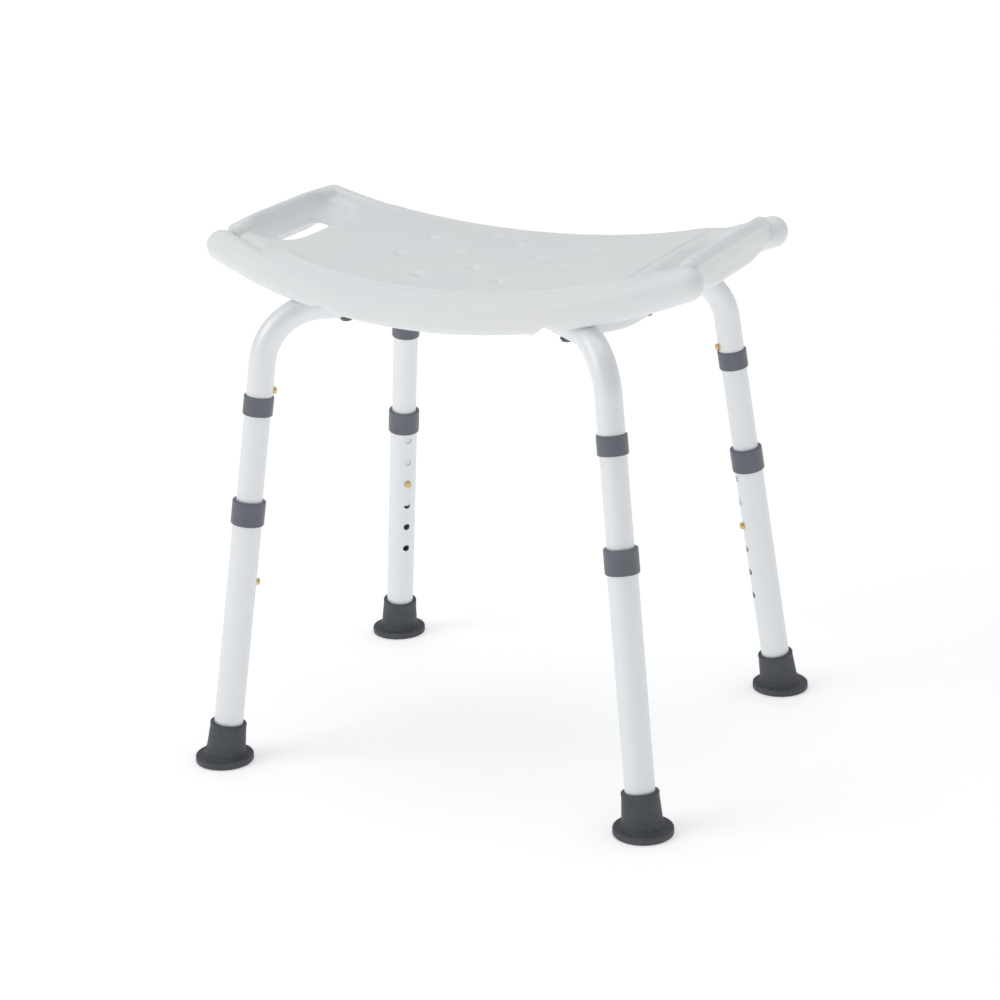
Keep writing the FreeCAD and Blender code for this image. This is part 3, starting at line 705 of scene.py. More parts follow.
@dataclass(frozen=True)
class Turning:
    """A piece turned about its own line from a closed outline that runs anticlockwise."""

    corners: Sequence[Corner]
    steps: int = 5
    segments: int = 72

    def outline(self) -> tuple[np.ndarray, np.ndarray]:
        """Rounds the corners.

        Returns:
            The outline's points, and the way the surface faces at each.
        """
        points, facing = [], []
        spots = [np.array([corner.radius, corner.height]) for corner in self.corners]
        for index, corner in enumerate(self.corners):
            here = spots[index]
            back = spots[index - 1] - here
            ahead = spots[(index + 1) % len(spots)] - here
            back, ahead = back / np.linalg.norm(back), ahead / np.linalg.norm(ahead)
            half = math.acos(np.clip(back @ ahead, -1, 1)) / 2
            middle = here + (back + ahead) / np.linalg.norm(back + ahead) * corner.rounding / math.sin(half)
            outward = 1 if back[0] * ahead[1] - back[1] * ahead[0] < 0 else -1
            first = here + back * corner.rounding / math.tan(half) - middle
            last = here + ahead * corner.rounding / math.tan(half) - middle
            turn = math.pi - 2 * half
            for step in range(self.steps + 1):
                share = step / self.steps
                arm = (first * math.sin((1 - share) * turn) + last * math.sin(share * turn)) / math.sin(turn)
                points.append(middle + arm)
                facing.append(outward * arm / np.linalg.norm(arm))
        return np.array(points), np.array(facing)

    def skin(self) -> tuple[np.ndarray, np.ndarray, np.ndarray]:
        """Turns the outline.

        Returns:
            The corners, the faces, and the way the surface faces at each corner.
        """
        outline, facing = self.outline()
        angles = np.linspace(0, 2 * math.pi, self.segments, endpoint=False)
        around = np.stack([np.cos(angles), np.sin(angles)], axis=1)

        def swept(flat: np.ndarray) -> np.ndarray:
            """Turns rows of (radius, height) about the line."""
            level = flat[:, None, 0:1] * around[None]
            lift = np.repeat(flat[:, None, 1:2], self.segments, axis=1)
            return np.concatenate([level, lift], axis=2).reshape(-1, 3)

        number = np.arange(len(outline) * self.segments).reshape(len(outline), self.segments)
        ahead = np.roll(number, -1, axis=0)
        faces = np.stack([number, np.roll(number, -1, axis=1), np.roll(ahead, -1, axis=1), ahead], axis=2)
        return swept(outline), faces.reshape(-1, 4), swept(facing)


def grid_line(*stops: tuple[float, float]) -> np.ndarray:
    """Divides a line into stretches, each with its own spacing, and mirrors it about 0.

    Args:
        *stops: The end of each stretch and its spacing, from the middle out.

    Returns:
        The grid's values from the lowest to the highest.
    """
    values = [0.0]
    for end, spacing in stops:
        steps = max(1, round((end - values[-1]) / spacing))
        values += list(np.linspace(values[-1], end, steps + 1)[1:])
    out = np.array(values)
    return np.concatenate([-out[:0:-1], out])


# ---------------------------------------------------------------- Geometry Nodes


class Grower:
    """A Geometry Nodes tree in the making, with named inputs."""

    def __init__(self, name: str, inputs: dict[str, tuple[str, object]]) -> None:
        """Starts a tree.

        Args:
            name: The tree's name.
            inputs: The socket type and the value of each named input.
        """
        self.group = bpy.data.node_groups.new(name, "GeometryNodeTree")
        sockets = self.group.interface
        sockets.new_socket("Geometry", in_out="INPUT", socket_type="NodeSocketGeometry")
        self.values = {}
        for label, (kind, value) in inputs.items():
            socket = sockets.new_socket(label, in_out="INPUT", socket_type=kind)
            self.values[socket.identifier] = value
        sockets.new_socket("Geometry", in_out="OUTPUT", socket_type="NodeSocketGeometry")
        self.start = self.group.nodes.new("NodeGroupInput")
        self.end = self.group.nodes.new("NodeGroupOutput")

    def __getitem__(self, label: str) -> bpy.types.NodeSocket:
        """Gives the socket of a named input."""
        return self.start.outputs[label]

    def add(self, kind: str, settings: dict[str, object] | None = None,
            inputs: dict[str | int, object] | None = None) -> bpy.types.Node:
        """Adds a node and fills its sockets.

        Args:
            kind: The node's type.
            settings: Values for the node's own properties.
            inputs: What each socket takes, by name or number: another socket or a value.

        Returns:
            The new node.
        """
        node = self.group.nodes.new(kind)
        for key, value in (settings or {}).items():
            setattr(node, key, value)
        for key, value in (inputs or {}).items():
            if isinstance(value, bpy.types.NodeSocket):
                self.group.links.new(value, node.inputs[key])
            else:
                node.inputs[key].default_value = value
        return node

    def sum(self, operation: str, *terms: object) -> bpy.types.NodeSocket:
        """Adds a sum.

        Args:
            operation: The operation's name.
            *terms: Its terms, as sockets or numbers.

        Returns:
            The result.
        """
        return self.add("ShaderNodeMath", {"operation": operation}, dict(enumerate(terms))).outputs[0]

    def grow(self, result: bpy.types.NodeSocket, finish: Finish, base: bpy.types.Object) -> bpy.types.Object:
        """Ends the tree, runs it on an object and keeps the plain mesh that it makes.

        Args:
            result: The geometry that the tree has made.
            finish: What it is made of.
            base: The object that holds the path or the spots.

        Returns:
            The same object with its new mesh and no modifier.
        """
        real = self.add("GeometryNodeRealizeInstances", inputs={"Geometry": result})
        inputs = {"Geometry": real.outputs[0], "Material": finish.material()}
        painted = self.add("GeometryNodeSetMaterial", inputs=inputs)
        self.group.links.new(painted.outputs[0], self.end.inputs[0])
        modifier = base.modifiers.new(self.group.name, "NODES")
        modifier.node_group = self.group
        for identifier, value in self.values.items():
            modifier[identifier] = value
        bpy.context.view_layer.update()
        graph = bpy.context.evaluated_depsgraph_get()
        made = bpy.data.meshes.new_from_object(base.evaluated_get(graph), depsgraph=graph)
        base.modifiers.clear()
        base.data = made
        made.name = base.name
        return base


def base_object(name: str, points: Sequence[Sequence[float]],
                edges: Sequence[tuple[int, int]] = ()) -> bpy.types.Object:
    """Makes an object of bare points, with or without edges between them.

    Args:
        name: The object's name.
        points: The points, in millimetres.
        edges: The pairs that are joined.

    Returns:
        The object.
    """
    mesh = bpy.data.meshes.new(name)
    mesh.from_pydata([[value * MM for value in point] for point in points], list(edges), [])
    made = bpy.data.objects.new(name, mesh)
    bpy.context.scene.collection.objects.link(made)
    return made


# ---------------------------------------------------------------- the seat


@dataclass
class SeatShell:
    """The blow-moulded seat: a dished deck between two rolls.

    It has rails and hand slots at its ends, drain dimples, and channels for the tubes. A pair of values is
    the stretch, out from the middle, over which one size turns into another.
    """

    nose_radius: float = 15.0
    nose_y: float = 110.0
    nose_drop: float = 15.5
    roll_change: tuple[float, float] = (0.45, 0.95)
    roll_clearance: float = 0.5
    middle_half_height: float = 13.5
    middle_squareness: float = 3.4
    bar_end: float = 239.0
    deck_rise: float = 34.0
    deck_middle: float = 476.0
    deck_thickness: float = 23.0
    deck_inset: float = 2.0
    deck_narrowing: float = 10.5
    deck_narrows: tuple[float, float] = (150.0, 225.0)
    deck_corner: float = 9.0
    deck_edge: float = 10.0
    trough_reach: float = 240.0
    end_drop: float = 1.0
    crown_fades: tuple[float, float] = (110.0, 205.0)
    crown: float = 5.5
    panel_half_length: float = 175.0
    panel_half_width: float = 125.0
    panel_bow: float = 12.0
    panel_bow_reach: float = 158.0
    panel_rise: float = 3.0
    panel_end_fall: float = 1.2
    panel_falls: tuple[float, float] = (110.0, 165.0)
    panel_edge: float = 1.2
    panel_softening: float = 1.4
    panel_softens: tuple[float, float] = (120.0, 170.0)
    panel_root: float = 8.0
    panel_corner: float = 12.0
    slot_middle: float = 205.5
    slot_half_width: float = 12.0
    slot_half_length: float = 41.0
    slot_corner: float = 9.0
    dish_half_width: float = 25.0
    dish_rim: float = 5.0
    dish_depth: float = 18.0
    dish_straight: float = 46.0
    dish_end: float = 36.0
    dish_drift: float = 2.0
    dish_drifts: tuple[float, float] = (30.0, 75.0)
    dish_blend: float = 4.0
    under_dish_depth: float = 7.5
    under_dish_inset: float = 8.0
    rail_half_thickness: float = 9.0
    rail_depth: float = 38.0
    rail_half_length: float = 98.0
    rail_fall: float = 2.0
    rail_lift: float = 7.0
    rail_level: float = 40.0
    rail_end_rounding: float = 7.0
    scallop_reach: float = 115.0
    scallop_radius: float = 17.0
    scallop_start: float = 84.0
    scallop_slant: float = 0.45
    drain_step: float = 42.5
    drain_radius: float = 1.6
    cone_scale: float = 0.6
    dimple_radius: float = 8.5
    dimple_depth: float = 3.2
    pad_half_length: float = 162.0
    pad_half_width: float = 119.0
    pad_corner: float = 74.0
    pad_edge: float = 4.0
    pad_root: float = 8.0
    roll_blend: float = 15.0
    roll_blend_loss: float = 13.6
    roll_blend_fades: tuple[float, float] = (165.0, 218.0)
    cut_edge: float = 1.2
    join_blend: float = 1.5
    scallop_edge: float = 2.0
    channel_gap: float = 0.4
    coarse_half_length: float = 180.0
    coarse_half_width: float = 104.0
    coarse_spacing: float = 2.1
    end_spacing: float = 1.75
    side_spacing: float = 1.5
    height_spacing: float = 1.6
    margin: float = 2.0

    def __post_init__(self) -> None:
        """Takes the seat's place and the tubes' line from the frame."""
        low, high = node_box("seat")
        self.nose_x = high.x - self.nose_radius
        self.nose_z = self.deck_middle + self.deck_rise - self.nose_drop
        self.roll_y = high.y - self.nose_radius
        self.pad_bottom = low.z
        self.rail_top = high.z
        self.roll_z = low.z + self.roll_clearance + self.middle_half_height
        line = LegLine.read(Leg.BACK_RIGHT)
        self.tube_radius = line.radius("leg_tube_back_right")
        self.tube_z = node_box("frame_tube_a")[1].z - self.tube_radius
        self.tube_angle = math.atan2(line.sole.y, line.sole.x)
        lean = math.acos(line.up.z)
        corner = math.hypot(line.sole.x, line.sole.y) - self.tube_z * math.tan(lean)
        self.bend_start = corner - BEND_RADIUS * math.tan((math.pi / 2 - lean) / 2)

    def trough(self, x: np.ndarray) -> np.ndarray:
        """Gives the height of the deck's long curve."""
        bend = (self.trough_reach ** 2 + self.deck_rise ** 2) / (2 * self.deck_rise)
        return bend - np.sqrt(bend ** 2 - np.minimum(np.abs(x), bend - 1) ** 2)

    def deck_top(self, x: np.ndarray, y: np.ndarray) -> np.ndarray:
        """Gives the deck's height: the long curve with a crown that fades out at the ends."""
        fade = 1 - smooth_step(*self.crown_fades, np.abs(x))
        crown = fade * self.crown * (y / self.panel_half_width) ** 2
        return self.deck_middle - (1 - fade) * self.end_drop + self.trough(x) - crown

    def rolls(self, x: np.ndarray, y: np.ndarray, z: np.ndarray) -> np.ndarray:
        """Gives the distance to the two edge rolls, each a bowed bar with ball ends."""
        x, y = np.abs(x), np.abs(y)
        bow = self.roll_y - self.nose_y
        lift = self.nose_z - self.roll_z
        rise = math.hypot(bow, lift)
        bend = (self.nose_x ** 2 + rise ** 2) / (2 * rise)
        up_y, up_z = -bow / rise, lift / rise
        along = (y - self.roll_y) * up_y + (z - self.roll_z) * up_z
        aside = (y - self.roll_y) * up_z - (z - self.roll_z) * up_y
        limit = math.asin(self.nose_x / bend)
        angle = np.clip(np.arctan2(x, bend - along), 0, limit)
        dx = x - bend * np.sin(angle)
        dv = along - (bend - bend * np.cos(angle))
        past = dx * np.cos(angle) + dv * np.sin(angle)
        inner = dv * np.cos(angle) - dx * np.sin(angle)
        dy = inner * up_y + aside * up_z
        dz = inner * up_z - aside * up_y
        share = smooth_step(*self.roll_change, angle / limit)
        power = self.middle_squareness + (2.0 - self.middle_squareness) * share
        height = self.middle_half_height + (self.nose_radius - self.middle_half_height) * share
        dz = dz * self.nose_radius / height
        section = (np.abs(dy) ** power + np.abs(dz) ** power + 1e-9) ** (1 / power)
        return np.hypot(past, section) - self.nose_radius

    def deck(self, x: np.ndarray, y: np.ndarray, z: np.ndarray) -> np.ndarray:
        """Gives the distance to the deck slab with its rounded end bars."""
        x, y = np.abs(x), np.abs(y)
        bow = (self.roll_y - self.nose_y) * (x / self.nose_x) ** 2
        end = smooth_step(*self.deck_narrows, x)
        half_width = self.roll_y - bow - self.deck_inset - self.deck_narrowing * end
        plan = shared(x - self.bar_end, y - half_width, self.deck_corner)
        top = z - self.deck_top(x, y)
        under = self.trough(x) + self.deck_middle - self.end_drop - self.deck_thickness - z
        return shared(shared(top, plan, self.deck_edge), under, self.deck_corner)

    def panel(self, x: np.ndarray, y: np.ndarray, z: np.ndarray) -> np.ndarray:
        """Gives the distance to the raised panel in the middle of the deck."""
        x, y = np.abs(x), np.abs(y)
        side = y - (self.panel_half_width - self.panel_bow * (x / self.panel_bow_reach) ** 2)
        outline = shared(side, x - self.panel_half_length, self.panel_corner)
        edge = self.panel_edge + self.panel_softening * smooth_step(*self.panel_softens, x)
        rise = self.panel_rise - self.panel_end_fall * smooth_step(*self.panel_falls, x)
        height = z - self.deck_top(x, y) - rise
        return np.maximum(shared(height, outline, edge), self.deck_top(x, y) - self.panel_root - z)

    def drains(self) -> list[tuple[float, float]]:
        """Lists the places of the drain dimples, in staggered columns."""
        step = self.drain_step
        columns = {0: (-49, 49), 1: (-85, 0, 85), 2: (-34.5, 34.5)}
        found = []
        for column, places in columns.items():
            sides = (1,) if column == 0 else (-1, 1)
            found += [(side * column * step, y) for side in sides for y in places]
        return found

    def dimples(self, x: np.ndarray, y: np.ndarray, z: np.ndarray) -> np.ndarray:
        """Gives the distance to the drain holes and the dimples round them."""
        spots = np.array(self.drains())
        reach = np.full(np.broadcast(x, y).shape, np.inf)
        for spot_x, spot_y in spots:
            reach = np.minimum(reach, np.hypot(x - spot_x, y - spot_y))
        top = self.deck_top(x, y) + self.panel_rise
        narrowing = (top - z) * (self.dimple_radius - self.drain_radius) / self.dimple_depth
        cone = (reach - self.dimple_radius + narrowing) * self.cone_scale
        return np.minimum(np.maximum(cone, top - self.dimple_depth - z), reach - self.drain_radius)

    def rails(self, x: np.ndarray, y: np.ndarray, z: np.ndarray) -> np.ndarray:
        """Gives the distance to the rails along the two ends, each a little higher in the middle."""
        x, y = np.abs(x), np.abs(y)
        share = smooth_step(self.rail_level, self.rail_half_length, y)
        top = self.rail_top - self.rail_fall * share
        half_depth = (self.rail_depth - (self.rail_fall + self.rail_lift) * share) / 2
        half = self.rail_half_thickness
        across, down = x - self.bar_end + half, z - top + half_depth
        section = rounded_rectangle(across, down, half, half_depth, half - 0.5)
        return shared(section, y - self.rail_half_length, self.rail_end_rounding)

    def scallops(self, x: np.ndarray, y: np.ndarray, z: np.ndarray) -> np.ndarray:
        """Gives the distance to the round hollows under the rolls, beside the tubes."""
        x, y = np.abs(x), np.abs(y)
        middle = self.scallop_reach - self.scallop_slant * (self.roll_y - y)
        away = np.hypot(x - middle, z - self.pad_bottom) - self.scallop_radius
        return np.maximum(away, self.scallop_start - y)

    def hand_slots(self, x: np.ndarray, y: np.ndarray, z: np.ndarray) -> tuple[np.ndarray, np.ndarray]:
        """Gives the distances to the dishes round the hand slots and to the slots themselves."""
        x, y = np.abs(x), np.abs(y)
        middle = self.slot_middle
        top = self.deck_middle - self.end_drop + float(self.trough(np.array(middle)))
        rise = float(self.trough(np.array(middle + 1.0)) - self.trough(np.array(middle - 1.0))) / 2
        slope = math.atan(rise)
        across = (x - middle) * math.cos(slope) + (z - top) * math.sin(slope)
        lift = (z - top) * math.cos(slope) - (x - middle) * math.sin(slope)
        past = np.maximum(y - self.dish_straight, 0) / self.dish_end
        wide = (across - self.dish_drift * smooth_step(*self.dish_drifts, y)) / self.dish_half_width
        sunk = np.minimum(lift - self.dish_rim, 0) / self.dish_depth
        upper = (np.sqrt(wide ** 2 + past ** 2 + sunk ** 2) - 1) * self.dish_depth
        risen = np.maximum(lift + self.deck_thickness, 0) / self.under_dish_depth
        narrow = across / (self.dish_half_width - self.under_dish_inset)
        lower = (np.sqrt(narrow ** 2 + past ** 2 + risen ** 2) - 1) * self.under_dish_depth
        slot = rounded_rectangle(across, y, self.slot_half_width, self.slot_half_length, self.slot_corner)
        return np.minimum(upper, lower), slot

    def channels(self, x: np.ndarray, y: np.ndarray, z: np.ndarray) -> np.ndarray:
        """Gives the distance to the channels that the crossed tubes lie in."""
        cos, sin = math.cos(self.tube_angle), math.sin(self.tube_angle)
        found = None
        for side in (-1, 1):
            along = np.abs(x * cos + side * y * sin)
            aside = y * cos - side * x * sin
            straight = np.maximum(z - self.tube_z, 0)
            centre = self.tube_z - BEND_RADIUS
            bent = np.maximum(np.hypot(along - self.bend_start, z - centre) - BEND_RADIUS, 0)
            over = np.where(along < self.bend_start, straight, bent)
            distance = np.hypot(aside, over) - self.tube_radius - self.channel_gap
            found = distance if found is None else joined(found, distance, 1.0)
        return found

    def rule(self, x: np.ndarray, y: np.ndarray, z: np.ndarray) -> np.ndarray:
        """Gives the distance to the whole seat.

        Args:
            x: Places along the seat.
            y: Places across it.
            z: Heights.

        Returns:
            The distances, below 0 inside.
        """
        deck = joined(self.deck(x, y, z), self.panel(x, y, z), self.panel_edge)
        fillet = self.roll_blend - self.roll_blend_loss * smooth_step(*self.roll_blend_fades, np.abs(x))
        body = joined(deck, self.rolls(x, y, z), fillet)
        body = joined(body, self.rails(x, y, z), self.join_blend)
        plan = rounded_rectangle(x, y, self.pad_half_length, self.pad_half_width, self.pad_corner)
        pad = shared(plan, self.pad_bottom - z, self.pad_edge)
        pad = shared(pad, z - self.deck_middle + self.pad_root, 1.0)
        body = less(joined(body, pad, self.pad_edge), self.scallops(x, y, z), self.scallop_edge)
        dishes, slots = self.hand_slots(x, y, z)
        body = less(less(body, dishes, self.dish_blend), slots, self.cut_edge)
        body = less(body, self.dimples(x, y, z), self.cut_edge)
        return less(body, self.channels(x, y, z), self.join_blend)

    def build(self) -> bpy.types.Object:
        """Makes the seat.

        Returns:
            The finished piece.
        """
        low, high = node_box("seat")
        coarse, margin = self.coarse_spacing, self.margin
        xs = grid_line((self.coarse_half_length, coarse), (high.x + margin, self.end_spacing))
        ys = grid_line((self.coarse_half_width, coarse), (high.y + margin, self.side_spacing))
        zs = np.arange(low.z - margin, high.z + margin + 1, self.height_spacing)
        points, faces, normals = Moulding(self.rule, (xs, ys, zs)).skin()
        return make_piece("seat_shell", points, faces, SEAT_PLASTIC, body_of("seat"), ["seat"], normals)


# ---------------------------------------------------------------- the frame


@dataclass
class CrossedTube:
    """One bent tube of the frame, pressed to a half section where it crosses the other.

    It is a closed rod, without the bore, the button holes and the screw holes of the node that it stands for.
    """

    node: str
    right_leg: Leg
    side: int
    crimp_half_length: float = 20.0
    crimp_fade: float = 20.0
    step: float = 3.0
    sides: int = 64
    bend_points: int = 40

    def __post_init__(self) -> None:
        """Takes the tube's line and its radius from the leg at its right end."""
        self.line = LegLine.read(self.right_leg)
        self.radius = self.line.radius(f"leg_tube_{self.right_leg.value}")

    def path(self) -> list[tuple[float, float, float]]:
        """Finds the corners of the tube's line in its own upright plane.

        Returns:
            The two ends and the two corners where the bends lie.
        """
        line = self.line
        height = node_box(self.node)[1].z - self.radius
        reach = math.hypot(line.sole.x, line.sole.y)
        lean = math.acos(line.up.z)
        own = node_points(self.node)
        near = own[own @ np.array([*line.sole.xy.normalized(), 0]) > reach / 2]
        end = float(((near - np.array(line.sole)) @ np.array(line.up)).min())
        low = (reach - end * math.sin(lean), end * math.cos(lean))
        corner = (reach - height * math.tan(lean), height)
        right = [(low[0], 0.0, low[1]), (corner[0], 0.0, corner[1])]
        return [(-x, y, z) for x, y, z in right] + right[::-1]

    def build(self) -> bpy.types.Object:
        """Grows the tube along its line.

        Returns:
            The finished piece.
        """
        path = self.path()
        turn = math.atan2(self.line.sole.y, self.line.sole.x)
        base = base_object("bent_" + self.node, path, [(0, 1), (1, 2), (2, 3)])
        kind = "NodeSocketFloat"
        tree = Grower("bent_tube", {
            "Radius": (kind, self.radius * MM),
            "Bend Radius": (kind, BEND_RADIUS * MM),
            "Step": (kind, self.step * MM),
            "Sides": ("NodeSocketInt", self.sides),
            "Height": (kind, path[1][2] * MM),
            "Crimp": (kind, self.crimp_half_length * MM),
            "Crimp End": (kind, (self.crimp_half_length + self.crimp_fade) * MM),
            "Side": (kind, float(self.side)),
            "Turn": ("NodeSocketVector", (0.0, 0.0, turn)),
        })
        curve = tree.add("GeometryNodeMeshToCurve", inputs={"Mesh": tree["Geometry"]})
        bent = tree.add("GeometryNodeFilletCurve", {"mode": "POLY"}, {
            "Curve": curve.outputs[0], "Count": self.bend_points, "Radius": tree["Bend Radius"]})
        even = tree.add("GeometryNodeResampleCurve", {"mode": "LENGTH"},
                        {"Curve": bent.outputs[0], "Length": tree["Step"]})
        ring = tree.add("GeometryNodeCurvePrimitiveCircle", {"mode": "RADIUS"},
                        {"Resolution": tree["Sides"], "Radius": tree["Radius"]})
        tube = tree.add("GeometryNodeCurveToMesh", inputs={
            "Curve": even.outputs[0], "Profile Curve": ring.outputs[0], "Fill Caps": True})
        spot = tree.add("ShaderNodeSeparateXYZ", inputs={0: tree.add("GeometryNodeInputPosition").outputs[0]})
        away = tree.sum("ABSOLUTE", spot.outputs["X"])
        pressed = tree.add("ShaderNodeMapRange", {"interpolation_type": "SMOOTHSTEP"}, {
            "Value": away, "From Min": tree["Crimp"], "From Max": tree["Crimp End"],
            "To Min": 1.0, "To Max": 0.0})
        lift = tree.sum("SUBTRACT", spot.outputs["Z"], tree["Height"])
        target = tree.sum("MULTIPLY", tree["Side"], tree["Radius"])
        half = tree.sum("MULTIPLY", tree.sum("SUBTRACT", target, lift), 0.5)
        shift = tree.sum("MULTIPLY", half, pressed.outputs["Result"])
        offset = tree.add("ShaderNodeCombineXYZ", inputs={"Z": shift})
        squeezed = tree.add("GeometryNodeSetPosition", inputs={
            "Geometry": tube.outputs[0], "Offset": offset.outputs[0]})
        smooth = tree.add("GeometryNodeSetShadeSmooth", inputs={"Geometry": squeezed.outputs[0]})
        turned = tree.add("GeometryNodeTransform", inputs={
            "Geometry": smooth.outputs[0], "Rotation": tree["Turn"]})
        piece = tree.grow(turned.outputs[0], POWDER, base)
        return dress(piece, POWDER, body_of(self.node), [self.node])


# ---------------------------------------------------------------- the legs


@dataclass
class CollarRing:
    """A plastic ring on a leg: a sleeve with soft edges, and a lip where it guides a thinner tube."""

    line: LegLine
    node: str
    bore: float
    lip: float | None = None
    lip_height: float = 3.6
    edge: float = 1.0

    def build(self) -> bpy.types.Object:
        """Turns the ring.

        Returns:
            The finished piece.
        """
        low, high = self.line.along(self.node)
        outer = self.line.radius(self.node)
        corners = [Corner(self.bore, low, 0.25), Corner(outer, low, self.edge)]
        if self.lip is None:
            corners += [Corner(outer, high, self.edge), Corner(self.bore, high, 0.4)]
        else:
            shoulder = high - self.lip_height
            corners += [Corner(outer, high, self.edge * 1.3), Corner(self.lip, high, 0.5)]
            corners += [Corner(self.lip, shoulder, 0.25), Corner(self.bore, shoulder, 0.25)]
        points, faces, normals = Turning(corners).skin()
        turned = normals @ self.line.turn().T
        placed, body = self.line.place(points), body_of(self.node)
        return make_piece(self.node + "_ring", placed, faces, COLLAR_GREY, body, [self.node], turned)


@dataclass
class RubberFoot:
    """A rubber foot: a grooved disc on the floor under a leaning cone with a lip round the tube."""

    line: LegLine
    disc_height: float = 7.0
    disc_edge: float = 1.6
    wall_top: float = 3.2
    wall_base: float = 5.8
    cone_height: float = 40.0
    lip_height: float = 3.0
    lip_width: float = 0.45
    lip_fade: float = 0.4
    cone_edge: float = 1.3
    shoulder: float = 1.0
    shoulder_height: float = 12.0
    shoulder_fade: float = 0.6
    socket_floor: float = 8.0
    groove_step: float = 5.0
    groove_depth: float = 1.2
    groove_half_width: float = 0.9
    groove_margin: float = 4.0
    spacing: float = 0.95

    def __post_init__(self) -> None:
        """Takes the foot's width and the tube's from the frame."""
        name = self.line.leg.value
        low, high = node_box(f"foot_{name}")
        self.disc_radius = (high.x - low.x) / 2
        self.tube_radius = self.line.radius(f"lower_tube_{name}")

    def rule(self, x: np.ndarray, y: np.ndarray, z: np.ndarray) -> np.ndarray:
        """Gives the distance to the foot.

        Args:
            x: Places in the frame's axes.
            y: Places in the frame's axes.
            z: Heights.

        Returns:
            The distances, below 0 inside.
        """
        dx, dy, dz = x - self.line.sole.x, y - self.line.sole.y, z
        reach = np.hypot(dx, dy)
        middle = self.disc_height / 2
        disc = shared(reach - self.disc_radius, np.abs(z - middle) - middle, self.disc_edge)
        up = self.line.up
        along = dx * up.x + dy * up.y + dz * up.z
        away = np.sqrt(np.maximum(reach ** 2 + dz ** 2 - along ** 2, 0))
        share = np.clip(along / self.cone_height, 0, 1)
        outer = self.tube_radius + self.wall_base + (self.wall_top - self.wall_base) * share
        end, fade = self.shoulder_height, self.shoulder_fade
        step = self.shoulder * (1 - smooth_step(end - fade, end + fade, along))
        start, fade = self.cone_height - self.lip_height, self.lip_fade
        lip = self.lip_width * smooth_step(start - fade, start + fade, along)
        cone = shared(away - outer - step - lip, along - self.cone_height, self.cone_edge)
        body = joined(disc, np.maximum(cone, self.disc_height / 2 - z), 1.6)
        ring = np.abs((reach + self.groove_step / 2) % self.groove_step - self.groove_step / 2)
        groove = np.maximum(ring - self.groove_half_width, z - self.groove_depth)
        groove = np.maximum(groove, reach - self.disc_radius + self.groove_margin)
        socket = np.maximum(away - self.tube_radius - 0.02, self.socket_floor - along)
        return less(less(body, groove, 0.3), socket, 0.5)

    def build(self) -> bpy.types.Object:
        """Makes the foot.

        Returns:
            The finished piece.
        """
        node = f"foot_{self.line.leg.value}"
        low, high = node_box(node)
        axes = tuple(np.arange(low[way] - 2, high[way] + 3, self.spacing) for way in range(3))
        points, faces, normals = Moulding(self.rule, axes, rounds=3).skin()
        return make_piece(node + "_rubber", points, faces, FOOT_RUBBER, body_of(node), [node], normals)


@dataclass
class TelescopicLeg:
    """One leg: the tubes and clips carried over from the frame, with rings and a foot of its own."""

    line: LegLine
    fit: float = 0.02

    def build(self) -> None:
        """Dresses the kept nodes and makes the rings and the foot."""
        name = self.line.leg.value
        tube = self.line.radius(f"leg_tube_{name}")
        lower = self.line.radius(f"lower_tube_{name}")
        for node in (f"leg_tube_{name}", f"lower_tube_{name}"):
            dress_node(node, POWDER)
        for node in (f"upper_button_{name}", f"lower_button_{name}"):
            dress_node(node, BUTTON_BRASS)
        for node in (f"upper_spring_{name}", f"lower_spring_{name}"):
            dress_node(node, SPRING_STEEL)
        dress_node(f"foot_washer_{name}", ZINC)
        CollarRing(self.line, f"upper_collar_{name}", tube + self.fit).build()
        CollarRing(self.line, f"lower_collar_{name}", lower + self.fit, tube + 4 * self.fit).build()
        RubberFoot(self.line).build()


# ---------------------------------------------------------------- the fixings


